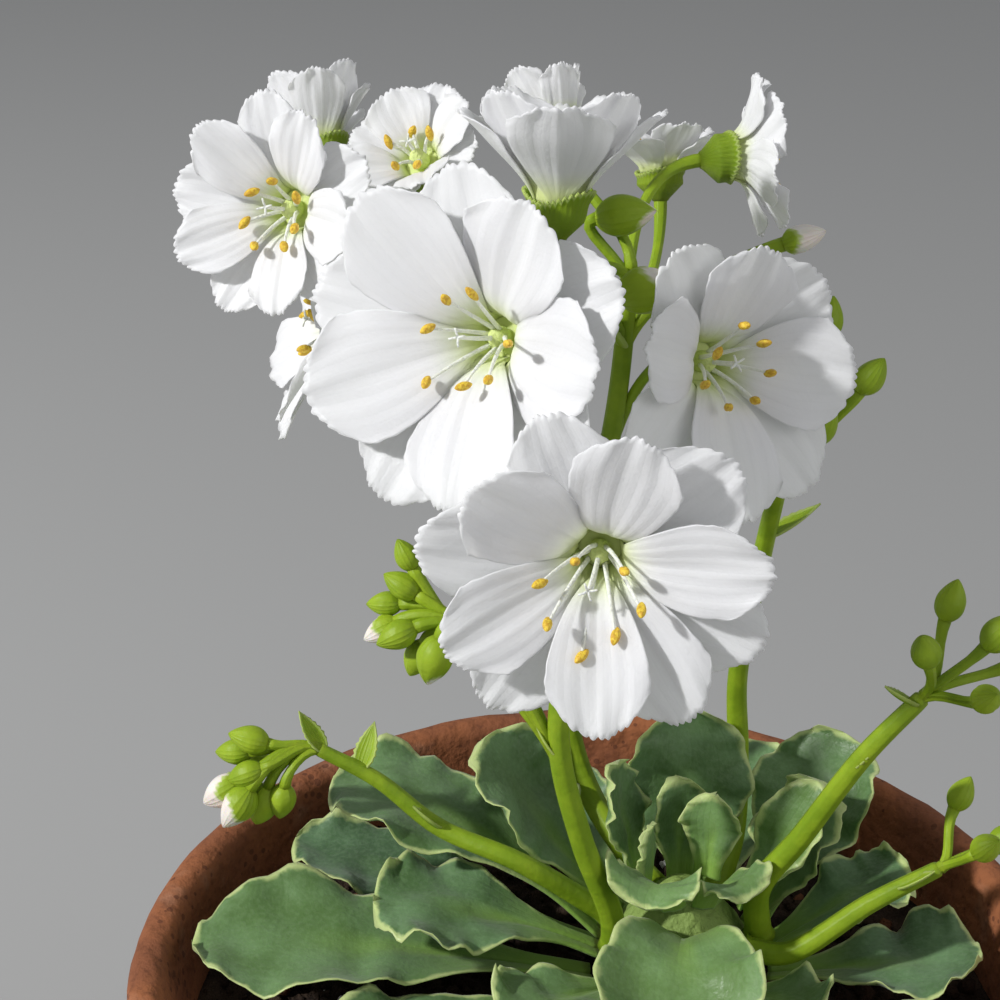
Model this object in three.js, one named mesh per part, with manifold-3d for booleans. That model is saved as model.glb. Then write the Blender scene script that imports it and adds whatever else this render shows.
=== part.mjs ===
// A white lewisia in bloom, growing in a plain terracotta pot.
// Millimetres, +Z up, origin at the middle of the pot's underside, with the viewer on the -Y side.
import * as THREE from "three";
import { mergeVertices } from "three/addons/utils/BufferGeometryUtils.js";
import Module from "manifold-3d";

const wasm = await Module();
wasm.setup();

// Driving dimensions of the pot
const POT_HEIGHT = 108;
const RIM_RADIUS = 60;
const RIM_BAND_HEIGHT = 24;
const RIM_BAND_STEP = 3;
const WALL = 5;
const BASE_RADIUS = 40;
const FLOOR_THICKNESS = 7;
const DRAIN_RADIUS = 6.5;
const POT_SIDES = 32;

// Driving dimensions of the soil, and of the crown, the short thick stem that leaves and scapes grow from
const SEAT_GAP = 0.3;
const SOIL_TOP = POT_HEIGHT - 12;
const SOIL_BUMP = 0.8;
const CROWN_X = 11;
const CROWN_Y = 7;
const ROOT_DEPTH = 22;

// Tiers of the crown: the height above the soil and the crown's radius where pieces leave it
const LOW = { height: 2.6, radius: 11 };
const MIDDLE = { height: 6.2, radius: 10 };
const SCAPES = { height: 9.4, radius: 8.6 };
const UPPER = { height: 12.6, radius: 6.4 };
const HEART = { height: 15.8, radius: 3.6 };

// Sections of leaves, flowers and stems
const LEAF_THICKNESS = 1.0;
const LEAF_BASE_WIDTH = 3.8;
const WIDEST = 0.72;
const PETAL_THICKNESS = 0.6;
const CLAW_WIDTH = 1.3;
const CLAW_PART = 0.28;
const HUB_RADIUS = 2.2;
const HUB_HEIGHT = 1.8;
const LAYER_ANGLE = 9;
const LAYER_RISE = 0.5;
const CLAW_ANGLE = 18;
const RECEPTACLE_LENGTH = 2.6;
const SEPAL_THICKNESS = 0.7;
const SEPAL_LENGTH = 4.6;
const PEDICEL_RADIUS = 0.85;
const FILAMENT_RADIUS = 0.4;
const ANTHER_LENGTH = 2.6;
const ANTHER_RADIUS = 0.75;
const MERGE = 0.02;

const DEG = Math.PI / 180;
const UP = new THREE.Vector3(0, 0, 1);
const vec = ([x, y, z]) => new THREE.Vector3(x, y, z);
const clamp01 = (t) => Math.min(1, Math.max(0, t));
const smooth = (t) => clamp01(t) ** 2 * (3 - 2 * clamp01(t));

// A fixed draw between -amount and amount for each seed
function draw(seed, amount) {
  const x = Math.sin(seed * 12.9898) * 43758.5453;
  return (2 * (x - Math.floor(x)) - 1) * amount;
}

// The solid of a closed geometry, turned the right way out
function solidOf(geometry) {
  const bare = geometry.index ? geometry.toNonIndexed() : geometry.clone();
  bare.deleteAttribute("normal");
  bare.deleteAttribute("uv");
  const merged = mergeVertices(bare, 1e-4);
  const triVerts = new Uint32Array(merged.index.array);
  const vertProperties = new Float32Array(merged.attributes.position.array);
  const solid = new wasm.Manifold(new wasm.Mesh({ numProp: 3, vertProperties, triVerts }));
  if (solid.volume() > 0) return solid;
  for (let i = 0; i < triVerts.length; i += 3) {
    [triVerts[i + 1], triVerts[i + 2]] = [triVerts[i + 2], triVerts[i + 1]];
  }
  return new wasm.Manifold(new wasm.Mesh({ numProp: 3, vertProperties, triVerts }));
}

// The geometry of a solid, for a mesh
function geometryOf(solid) {
  const { vertProperties, triVerts } = solid.getMesh();
  const geometry = new THREE.BufferGeometry();
  geometry.setAttribute("position", new THREE.BufferAttribute(new Float32Array(vertProperties), 3));
  geometry.setIndex(new THREE.BufferAttribute(new Uint32Array(triVerts), 1));
  geometry.computeVertexNormals();
  return geometry;
}

// Joins closed geometries into one body; a hollow that this seals is filled and a loose scrap is dropped
function fuse(geometries) {
  const joined = geometries.map(solidOf).reduce((all, solid) => all.add(solid)).simplify(MERGE);
  return geometryOf(joined.decompose().reduce((best, body) => (body.volume() > best.volume() ? body : best)));
}

const cut = (geometry, tool) => geometryOf(solidOf(geometry).subtract(solidOf(tool)));

// A lathe about Z, from a profile of [radius, height] points
function turned(profile, sides) {
  const points = profile.map(([radius, height]) => new THREE.Vector2(radius, height));
  return new THREE.LatheGeometry(points, sides).rotateX(Math.PI / 2);
}

// Turns a geometry made along Z to point along axis, and puts its origin at place
function aimed(geometry, place, axis) {
  const turn = new THREE.Quaternion().setFromUnitVectors(UP, axis.clone().normalize());
  return geometry.applyQuaternion(turn).translate(place.x, place.y, place.z);
}

// A round stem of one thickness along a curve
function tube(curve, radius, sides, steps) {
  const corners = Array.from({ length: sides }, (_, i) => {
    const angle = (2 * Math.PI * i) / sides;
    return new THREE.Vector2(radius * Math.cos(angle), radius * Math.sin(angle));
  });
  const settings = { steps, extrudePath: curve, bevelEnabled: false };
  return new THREE.ExtrudeGeometry(new THREE.Shape(corners), settings);
}

// The net of a thin blade. Each row is [s, points across], and place(s, v) gives the middle point and the
// normal there, with v from -1 to 1 across. Both faces are split into the same triangles.
function bladeNet(rows, thickness, place) {
  const top = [];
  const under = [];
  const firsts = [];
  for (const [s, count] of rows) {
    firsts.push(top.length);
    for (let j = 0; j < count; j++) {
      const { point, normal } = place(s, (2 * j) / (count - 1) - 1);
      top.push(point.clone().addScaledVector(normal, thickness / 2));
      under.push(point.clone().addScaledVector(normal, -thickness / 2));
    }
  }
  const faces = [];
  for (let i = 0; i + 1 < rows.length; i++) {
    const near = rows[i][1] - 1;
    const far = rows[i + 1][1] - 1;
    let a = 0;
    let b = 0;
    while (a < near || b < far) {
      const [p, q] = [firsts[i] + a, firsts[i + 1] + b];
      const advanceFar = a === near || (b < far && (b + 0.5) / far < (a + 0.5) / near);
      faces.push(advanceFar ? [p, q, q + 1] : [p, q, p + 1]);
      if (advanceFar) b++;
      else a++;
    }
  }
  const edges = faces.flatMap(([a, b, c]) => [[a, b], [b, c], [c, a]]);
  const known = new Set(edges.map(([a, b]) => `${a} ${b}`));
  const rim = edges.filter(([a, b]) => !known.has(`${b} ${a}`));
  return { top, under, faces, rim };
}

// The corners of a blade's triangles; with an open root, its end face is left out
function bladeCorners({ top, under, faces, rim }, openRoot = false) {
  const walls = rim.filter(([a, b]) => !(openRoot && a + b === 1));
  return [
    ...faces.flatMap(([a, b, c]) => [top[a], top[b], top[c], under[a], under[c], under[b]]),
    ...walls.flatMap(([a, b]) => [top[b], top[a], under[a], top[b], under[a], under[b]]),
  ];
}

function geometryFrom(corners) {
  const positions = corners.flatMap((corner) => corner.toArray());
  return new THREE.BufferGeometry().setAttribute("position", new THREE.Float32BufferAttribute(positions, 3));
}

const blade = (rows, thickness, place) => geometryFrom(bladeCorners(bladeNet(rows, thickness, place)));

// The pot: a tapered body with a rolled band round the rim and a drain hole in its floor
function potGeometry() {
  const band = POT_HEIGHT - RIM_BAND_HEIGHT;
  const bandRadius = RIM_RADIUS - 2;
  const inside = RIM_RADIUS - WALL;
  return turned([
    [DRAIN_RADIUS, 0],
    [BASE_RADIUS - 1.5, 0],
    [BASE_RADIUS, 1.5],
    [bandRadius - RIM_BAND_STEP, band],
    [bandRadius - 0.6, band + 0.4],
    [bandRadius, band + 1.6],
    [RIM_RADIUS, POT_HEIGHT - 3.6],
    [RIM_RADIUS - 0.8, POT_HEIGHT - 1],
    [RIM_RADIUS - 2.6, POT_HEIGHT],
    [inside + 1, POT_HEIGHT - 0.5],
    [inside + 0.2, POT_HEIGHT - 1.6],
    [inside, POT_HEIGHT - 3.4],
    [BASE_RADIUS - WALL, FLOOR_THICKNESS],
    [DRAIN_RADIUS, FLOOR_THICKNESS],
    [DRAIN_RADIUS, 0],
  ], POT_SIDES);
}

// The radius of the pot's inner wall at a height
function insideRadius(height) {
  const low = BASE_RADIUS - WALL;
  const high = RIM_RADIUS - WALL;
  return low + ((high - low) * (height - FLOOR_THICKNESS)) / (POT_HEIGHT - 3.4 - FLOOR_THICKNESS);
}

// The soil fills the pot, with a slightly uneven top and a plain hole for the crown's root
function soilGeometry() {
  const floor = FLOOR_THICKNESS + SEAT_GAP;
  const wallGap = SEAT_GAP + 0.1;
  const edge = insideRadius(SOIL_TOP) - wallGap;
  const rings = [1, 0.72, 0.4].map((part) => [part * edge, SOIL_TOP]);
  const soil = turned([[0, floor], [insideRadius(floor) - wallGap, floor], ...rings, [0, SOIL_TOP]], 28);
  const at = soil.attributes.position;
  for (let i = 0; i < at.count; i++) {
    const [x, y, z] = [at.getX(i), at.getY(i), at.getZ(i)];
    const inner = smooth((edge - Math.hypot(x, y)) / 6);
    const bump = Math.sin(0.31 * x + 1.1) * Math.cos(0.27 * y - 0.4) + 0.5 * Math.sin(0.52 * (x - y));
    if (z > SOIL_TOP - 1) at.setZ(i, z + (SOIL_BUMP * inner * bump) / 1.5);
  }
  const hole = crownProfile().filter(([, height]) => height < SOIL_TOP + 1)
    .map(([radius, height]) => [radius && radius + SEAT_GAP + 0.1, height]);
  const bottom = SOIL_TOP - ROOT_DEPTH - SEAT_GAP;
  const tool = [[0, bottom], [hole[1][0], bottom], ...hole.slice(2)];
  const widest = LOW.radius + SEAT_GAP + 0.1;
  tool.push([widest, SOIL_TOP + LOW.height], [0, SOIL_TOP + LOW.height]);
  return cut(soil, turned(tool, 16).translate(CROWN_X, CROWN_Y, 0));
}

// The crown's outline: a tap root below the soil, and a low dome above it
function crownProfile() {
  const above = [LOW, MIDDLE, SCAPES, UPPER, HEART].map(({ radius, height }) => [radius, SOIL_TOP + height]);
  const bottom = SOIL_TOP - ROOT_DEPTH;
  const below = [[0, bottom], [2.2, bottom], [7, SOIL_TOP - 8], [10.2, SOIL_TOP - 1]];
  const top = SOIL_TOP + HEART.height + 1.8;
  return [...below, ...above, [1.8, top], [0, top]];
}

// A point on the crown at a tier, standing off by gap, at an angle from +X in degrees
function onCrown({ radius, height }, angle, gap) {
  const reach = radius + gap;
  const [x, y] = [CROWN_X + reach * Math.cos(angle * DEG), CROWN_Y + reach * Math.sin(angle * DEG)];
  return new THREE.Vector3(x, y, SOIL_TOP + height);
}

// Leaves: where each leaves the crown, the place of its tip, how far its middle is arched up from the
// straight line between them, its width, how far its sides turn up, the height and number of the waves
// along its margin, and its roll and the width of its foot where they aren't plain; millimetres, degrees
const LEAVES = [
  { tier: LOW, from: 187, tip: [-52, -2.4, 107.6], arch: 1.6, width: 21.4, fold: 14, wave: 1.3, waves: 2.6,
    roll: -8 },
  { tier: LOW, from: 158, tip: [-43, 25, 105], arch: 0, width: 16, fold: 14, wave: 1.2, waves: 2.8 },
  { tier: LOW, from: 212, tip: [-35, -20, 104.5], arch: 0, width: 16, fold: 12, wave: 1.2, waves: 2.4 },
  { tier: LOW, from: 236, tip: [-21, -38, 106], arch: 0, width: 18, fold: 14, wave: 1.4, waves: 2.6 },
  { tier: LOW, from: 262, tip: [4, -44, 106], arch: 0, width: 18, fold: 14, wave: 1.3, waves: 2.4 },
  { tier: LOW, from: 290, tip: [28, -38, 106], arch: 0, width: 17, fold: 14, wave: 1.4, waves: 2.7 },
  { tier: LOW, from: 322, tip: [44, -20, 106], arch: 0, width: 17, fold: 14, wave: 1.3, waves: 2.5 },
  { tier: LOW, from: 2, tip: [50, 4, 105], arch: 0, width: 17, fold: 14, wave: 1.2, waves: 2.5 },
  { tier: LOW, from: 38, tip: [34, 32, 121], arch: 0, width: 18, fold: 14, wave: 1.4, waves: 2.5 },
  { tier: LOW, from: 72, tip: [22, 46, 111], arch: 0, width: 18, fold: 14, wave: 1.4, waves: 2.5 },
  { tier: LOW, from: 122, tip: [-14, 44, 110], arch: 0, width: 18, fold: 14, wave: 1.4, waves: 2.5 },
  { tier: MIDDLE, from: 184, tip: [-29, 2, 111.5], arch: 2, width: 20, fold: 8, wave: 1.5, waves: 2.5 },
  { tier: MIDDLE, from: 162, tip: [-36.5, 21, 118], arch: 4.5, width: 20, fold: 8, wave: 1.5, waves: 2.4,
    base: 4 },
  { tier: MIDDLE, from: 138, tip: [-16, 20.5, 125.4], arch: -1, width: 19, fold: 12, wave: 1.4, waves: 2.3 },
  { tier: MIDDLE, from: 82, tip: [11, 24.5, 129], arch: -2, width: 18, fold: 10, wave: 1.3, waves: 2.3 },
  { tier: MIDDLE, from: 30, tip: [30, 18, 122], arch: -1, width: 14, fold: 14, wave: 1.5, waves: 2.3 },
  { tier: MIDDLE, from: 2, tip: [41, 11, 113], arch: 1, width: 14, fold: 14, wave: 1.3, waves: 2.3 },
  { tier: UPPER, from: 272, tip: [9.5, -22, 108.6], arch: 6.6, width: 20, fold: 28, wave: 1.3, waves: 2.3,
    base: 8 },
  { tier: MIDDLE, from: 228, tip: [-10, -17, 109], arch: 1, width: 15, fold: 16, wave: 1.3, waves: 2.3 },
  { tier: MIDDLE, from: 305, tip: [26, -14, 109], arch: 1, width: 14, fold: 16, wave: 1.3, waves: 2.3 },
  { tier: UPPER, from: 138, tip: [1, 13.5, 126.5], arch: -1, width: 12, fold: 14, wave: 1, waves: 2 },
  { tier: UPPER, from: 92, tip: [10.2, 16, 123.5], arch: -1, width: 8, fold: 18, wave: 0.8, waves: 2 },
  { tier: UPPER, from: 14, tip: [28, 12, 126], arch: -2, width: 9, fold: 16, wave: 0.9, waves: 2, roll: 40 },
  { tier: HEART, from: 240, tip: [6, -5, 117.5], arch: 3.6, width: 12, fold: 26, wave: 1, waves: 2,
    base: 5 },
  { tier: HEART, from: 320, tip: [18.4, -1.5, 116.5], arch: 3.2, width: 9.5, fold: 20, wave: 0.9, waves: 2,
    base: 5 },
  { tier: HEART, from: 45, tip: [15, 12, 123.5], arch: -0.5, width: 8, fold: 16, wave: 0.7, waves: 2 },
  { tier: HEART, from: 165, tip: [7, 8, 121], arch: -0.5, width: 6, fold: 16, wave: 0.5, waves: 2 },
];

const LEAF_ROWS = [[0, 2], [0.18, 2], [0.34, 4], [0.48, 5], [0.61, 5], [0.74, 5], [0.85, 5], [0.935, 4],
  [0.985, 2]];
const SMALL_LEAF_ROWS = [[0, 2], [0.24, 3], [0.45, 5], [0.65, 5], [0.84, 5], [0.96, 3]];

// The half width of a leaf: a narrow stalk that opens into a spoon with a round end
function leafHalfWidth(s, width, base = LEAF_BASE_WIDTH) {
  const stalk = base / width;
  const spoon = stalk + (1 - stalk) * smooth((s - 0.12) / (WIDEST - 0.12));
  return (width / 2) * spoon * Math.sqrt(1 - clamp01((s - WIDEST) / (1 - WIDEST)) ** 2);
}

// A leaf: its midrib runs on a curve from the crown to the tip, its sides turn up, and its margin waves
function leafGeometry(leaf, index) {
  const tip = vec(leaf.tip);
  const rise = tip.clone().sub(onCrown(leaf.tier, leaf.from, 0)).normalize().z;
  const base = onCrown(leaf.tier, leaf.from, SEAT_GAP + 0.1 + (LEAF_THICKNESS / 2) * (0.8 + 0.75 * rise));
  const middle = base.clone().lerp(tip, 0.5).addScaledVector(UP, 2 * leaf.arch);
  const midrib = new THREE.QuadraticBezierCurve3(base, middle, tip);
  const start = 2 * Math.PI * (0.5 + draw(index + 0.5, 0.5));
  const rows = leaf.width > 13 ? LEAF_ROWS : SMALL_LEAF_ROWS;
  return blade(rows, LEAF_THICKNESS, (s, v) => {
    const along = midrib.getTangent(s);
    const flatSide = along.clone().cross(UP).normalize().negate();
    const side = flatSide.applyAxisAngle(along, (leaf.roll ?? 0) * DEG * s);
    const normal = along.clone().cross(side);
    const half = leafHalfWidth(s, leaf.width, leaf.base);
    const ripple = leaf.wave * smooth((s - 0.3) / 0.3) * Math.abs(v) ** 3
      * Math.sin(2 * Math.PI * leaf.waves * s + start + (v > 0 ? 2 : 0));
    const lift = half * Math.sin(leaf.fold * DEG) * v * v + ripple;
    const point = midrib.getPoint(s).addScaledVector(side, half * v).addScaledVector(normal, lift);
    return { point, normal };
  });
}

// Flowers: the middle of the throat, the way the flower looks (degrees round from the viewer's side,
// and up), its petals, their length and width, how far they open from the axis, the angle of the first
// petal, and its stamens; heavy is the angle of a side whose petals are longer, by what share, and by how
// many degrees less open
const FLOWERS = [
  { throat: [-0.7, -27.7, 178.3], face: [-4, 1], petals: 11, length: 18.6, width: 10.8, open: 80,
    first: 148.6, stamens: 7, heavy: [60, -0.03, 5] },
  { throat: [-11.6, -12.1, 195], face: [-30, 15], petals: 10, length: 19.6, width: 13.4, open: 77,
    first: 12, stamens: 7, heavy: [130, 0.11, 5] },
  { throat: [9.8, -6, 190.5], face: [37, 15], petals: 8, length: 16.6, width: 11.6, open: 70,
    first: 28, stamens: 7, heavy: [320, -0.12, 5] },
  { throat: [-35.7, 5, 203.3], face: [-24, 14], petals: 10, length: 12.8, width: 7.8, open: 72,
    first: 84, stamens: 7 },
  { throat: [-6, -4, 208], face: [175, 78], petals: 8, length: 14, width: 10.5, open: 46,
    first: 0, stamens: 5 },
  { throat: [-23.8, 27.8, 202.8], face: [-30, 50], petals: 8, length: 8.7, width: 8, open: 66,
    first: 0, stamens: 5 },
  { throat: [-36.9, 34, 203.8], face: [-170, 55], petals: 7, length: 9.3, width: 7, open: 42,
    first: 0, stamens: 4 },
  { throat: [-7.3, 13.2, 212], face: [-150, 50], petals: 6, length: 6.4, width: 5, open: 34,
    first: 0, stamens: 4 },
  { throat: [5.2, 31, 202.2], face: [-170, 72], petals: 7, length: 7.4, width: 7, open: 66,
    first: 0, stamens: 4 },
  { throat: [14.2, 20, 206], face: [98, 4], petals: 8, length: 8.8, width: 8.2, open: 76,
    first: 0, stamens: 6 },
  { throat: [-31, 9.5, 188], face: [-78, 10], petals: 8, length: 12, width: 9, open: 72,
    first: 0, stamens: 5, heavy: [180, 0.2, 0] },
];

const PETAL_ROWS = [[0, 2], [0.28, 2], [0.64, 4], [1, 6]];

// A flower's frame: the top of its receptacle, its axis, and two directions across it
function flowerFrame({ throat, face }) {
  const [round, up] = face.map((angle) => angle * DEG);
  const axis = vec([Math.sin(round) * Math.cos(up), -Math.cos(round) * Math.cos(up), Math.sin(up)]);
  const seat = vec(throat).addScaledVector(axis, -(SEAT_GAP + HUB_HEIGHT));
  const reference = Math.abs(axis.z) < 0.9 ? UP : new THREE.Vector3(0, 1, 0);
  const first = reference.clone().addScaledVector(axis, -reference.dot(axis)).normalize();
  return { seat, axis, first, second: axis.clone().cross(first) };
}

const outward = ({ first, second }, angle) =>
  first.clone().multiplyScalar(Math.cos(angle * DEG)).addScaledVector(second, Math.sin(angle * DEG));

// The middle line of a petal or sepal: points and angles from the axis, by small steps
function bladeLine(frame, direction, start, height, length, bendAt) {
  const steps = 24;
  const points = [frame.seat.clone().addScaledVector(direction, start).addScaledVector(frame.axis, height)];
  for (let i = 0; i < steps; i++) {
    const angle = bendAt((i + 0.5) / steps);
    points.push(points[i].clone().addScaledVector(frame.axis, (Math.cos(angle) * length) / steps)
      .addScaledVector(direction, (Math.sin(angle) * length) / steps));
  }
  return (s) => {
    const i = Math.min(steps - 1, Math.floor(clamp01(s) * steps));
    return points[i].clone().lerp(points[i + 1], s * steps - i);
  };
}

// A petal: a narrow claw that opens into a broad round end with a scalloped edge
function petalNet(flower, frame, k, seed) {
  const odd = flower.petals % 2 === 1 && k === flower.petals - 1;
  const layer = odd ? 2 : k % 2;
  const angle = flower.first - (360 * k) / flower.petals + draw(seed, 3);
  const [heavyAngle, longer, closed] = flower.heavy ?? [0, 0, 0];
  const towards = Math.cos((angle - heavyAngle) * DEG);
  const direction = outward(frame, angle);
  const side = frame.axis.clone().cross(direction);
  const length = flower.length * (1 + draw(seed + 0.1, 0.05)) * (1 + longer * towards);
  const width = flower.width * (1 + draw(seed + 0.2, 0.07));
  const open = (flower.open - LAYER_ANGLE * layer - closed * towards + draw(seed + 0.3, 0.7)) * DEG;
  const curl = (6 + draw(seed + 0.4, 6)) * DEG;
  const cup = 0.12 + draw(seed + 0.5, 0.03);
  const claw = (CLAW_ANGLE - LAYER_ANGLE * layer) * DEG;
  const bendAt = (s) => claw + (open - claw) * smooth(s / 0.45) + curl * clamp01((s - 0.55) / 0.45) ** 2;
  const line = bladeLine(frame, direction, HUB_RADIUS, SEAT_GAP + 0.5 + LAYER_RISE * layer, length, bendAt);
  return bladeNet(PETAL_ROWS, PETAL_THICKNESS, (s, v) => {
    const scallop = 0.022 * Math.sin(4.5 * Math.PI * v + 6 * draw(seed + 0.6, 1)) * s ** 6;
    const reach = s * (1 - 0.15 * v * v * s * s) + scallop;
    const opening = Math.sin((Math.PI / 2) * clamp01((reach - CLAW_PART) / (WIDEST - CLAW_PART)));
    const root = Math.min(CLAW_WIDTH, (0.8 * 2 * Math.PI * HUB_RADIUS) / flower.petals) / width;
    const half = (width / 2) * (root + (1 - root) * opening) * (1 - 0.22 * smooth((reach - WIDEST) / 0.3));
    const bend = bendAt(reach);
    const normal = direction.clone().multiplyScalar(-Math.cos(bend))
      .addScaledVector(frame.axis, Math.sin(bend));
    const point = line(reach).addScaledVector(side, half * v)
      .addScaledVector(normal, cup * smooth(reach / 0.6) * half * v * v);
    return { point, normal };
  });
}

// A corolla: all petals of a flower, joined at their roots by a small hub
function corollaGeometry(flower, index) {
  const frame = flowerFrame(flower);
  const petals = Array.from({ length: flower.petals }, (_, k) => petalNet(flower, frame, k, 10 * index + k));
  const low = frame.seat.clone().addScaledVector(frame.axis, SEAT_GAP);
  const high = frame.seat.clone().addScaledVector(frame.axis, SEAT_GAP + HUB_HEIGHT);
  const hub = petals.flatMap((petal, k) => {
    const next = petals[(k + 1) % petals.length];
    const [a, b, c] = [petal.top[0], petal.top[1], next.top[0]];
    const [d, e, f] = [petal.under[0], petal.under[1], next.under[0]];
    return [high, a, b, high, b, c, low, e, d, low, f, e, b, e, f, b, f, c];
  });
  return geometryOf(solidOf(geometryFrom([...hub, ...petals.flatMap((petal) => bladeCorners(petal, true))])));
}

// The middle of a flower: an ovary with its style, and a ring of stamens, each a thread with an anther
function stamensGeometry(flower, index) {
  const frame = flowerFrame(flower);
  const place = frame.seat.clone().addScaledVector(frame.axis, 2 * SEAT_GAP + HUB_HEIGHT);
  const reach = flower.length * 0.45;
  const thread = (length, end) => turned([[0, 0], [FILAMENT_RADIUS, 0],
    [FILAMENT_RADIUS, length - ANTHER_LENGTH], [end, length - 0.55 * ANTHER_LENGTH], [0, length]], 3);
  const pieces = [aimed(turned([[0, 0], [1.6, 0], [1.4, 0.9], [0, 2.2]], 6), place, frame.axis)];
  const addThread = (angle, start, spread, length, end) => {
    const direction = outward(frame, angle);
    const root = place.clone().addScaledVector(direction, start).addScaledVector(frame.axis, 0.4);
    const axis = frame.axis.clone().multiplyScalar(Math.cos(spread * DEG))
      .addScaledVector(direction, Math.sin(spread * DEG));
    pieces.push(aimed(thread(length, end), root, axis));
  };
  for (let k = 0; k < flower.stamens; k++) {
    const seed = 200 + 10 * index + k;
    const angle = flower.first + 20 + (360 * k) / flower.stamens + draw(seed, 10);
    const spread = 12 + 0.16 * flower.open + draw(seed + 0.3, 6);
    addThread(angle, 1, spread, reach * (1 + draw(seed + 0.6, 0.12)), ANTHER_RADIUS);
  }
  addThread(40, 0, 6, reach, FILAMENT_RADIUS);
  return fuse(pieces);
}

// Scapes: the points each flower stem runs through after it leaves the crown, its thickness, the flowers
// it carries with the share of the stem where each stalk starts, its buds as [x, y, z, lean, turn, length,
// share], and its bracts as [share, turn, length]
const SCAPE_LIST = [
  {
    from: 207,
    through: [[1.8, 0.8, 112], [-2.2, -1.4, 125], [-5.2, -2, 140], [-3.6, -1, 157], [0.6, 1, 182],
      [1.9, 4, 198]],
    radius: 1.6,
    flowers: [[0, 0.5], [1, 0.66], [2, 0.72], [4, 0.97], [7, 0.99], [8, 0.86], [9, 0.9]],
    buds: [[0.2, -3, 196.6, 72, 78, 7.8, 0.9], [18.2, 4, 200.5, 68, 80, 5.2, 0.88],
      [-2.4, 3.6, 203.2, 80, 86, 7, 0.97], [-22.8, 3, 159.6, 30, 250, 4.4, 0.42],
      [-22.2, 2, 156.8, 62, 258, 5, 0.42], [-24.6, 1, 153.9, 124, 268, 5.2, 0.42],
      [-21.4, 0.8, 151.4, 158, 268, 5.4, 0.42], [-19.4, -1.4, 153.4, 166, 285, 6.8, 0.42]],
    bracts: [[0.47, 255, 7], [0.68, 100, 6], [0.9, 300, 6]],
  },
  {
    from: 59,
    through: [[18.4, 23, 110.5], [18.8, 28.4, 120], [18.2, 28.8, 131], [19.8, 21, 154], [20.8, 14, 168]],
    radius: 1.7,
    flowers: [],
    buds: [[23.5, 11, 174, 30, 60, 6, 1], [29, 12, 180, 30, 80, 5.4, 0.98], [24.5, 13, 186, 12, 120, 5.6, 1],
      [19.5, 16, 180, 20, 260, 5.2, 0.97]],
    bracts: [[0.84, 100, 8], [0.97, 280, 6]],
  },
  {
    from: 353,
    through: [[20.6, 4.8, 114], [25.2, 3, 123.4], [31.9, 0, 138], [38, -1, 147]],
    radius: 1.7,
    flowers: [],
    buds: [[44, -2, 154, 35, 80, 6, 1], [40, 2.5, 155, 15, 120, 5.6, 1], [47.5, 1, 150, 60, 90, 5.2, 0.98],
      [43, -6.5, 149.5, 50, 20, 5.2, 0.97], [37.5, -4.5, 153, 25, 320, 5.4, 0.98]],
    bracts: [[0.7, 80, 7], [0.96, 300, 6]],
  },
  {
    from: 334,
    through: [[24.6, 1.6, 106.6], [34.6, 2, 114.6], [43, 2.6, 120]],
    radius: 1.6,
    flowers: [],
    buds: [[48.5, 3, 123, 60, 90, 5.6, 1], [46, -1.5, 125, 40, 40, 5.2, 0.98],
      [44.5, 7, 125.5, 35, 130, 5, 0.98]],
    bracts: [[0.8, 60, 6]],
  },
  {
    from: 168,
    through: [[-10.3, 6.6, 115.6], [-21, 9, 119], [-29, 10.4, 125], [-37, 10.5, 129.6]],
    radius: 1.4,
    flowers: [],
    buds: [[-42.6, 9, 130.8, 76, 268, 5.6, 1], [-46, 6.6, 126.8, 128, 262, 7, 1],
      [-44.6, 5.4, 126.6, 144, 288, 6.8, 0.99], [-45, 9.4, 129.4, 98, 262, 5.2, 0.99],
      [-42.8, 7.6, 125.6, 162, 266, 6.6, 0.98]],
    bracts: [[0.5, 300, 5.5], [0.82, 160, 6.5], [0.97, 240, 6]],
  },
  {
    from: 112,
    through: [[-1, 27, 112], [-4.6, 30.4, 122], [-4, 28, 148], [-12, 24, 176], [-21, 21, 187]],
    radius: 1.7,
    flowers: [[3, 0.98], [5, 1], [6, 0.99], [10, 0.95]],
    buds: [[-34, 13, 200.5, 25, 250, 5.6, 0.99], [-15, 24, 191, 40, 90, 5, 0.9]],
    bracts: [[0.6, 90, 7], [0.93, 250, 6]],
  },
];

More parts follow.
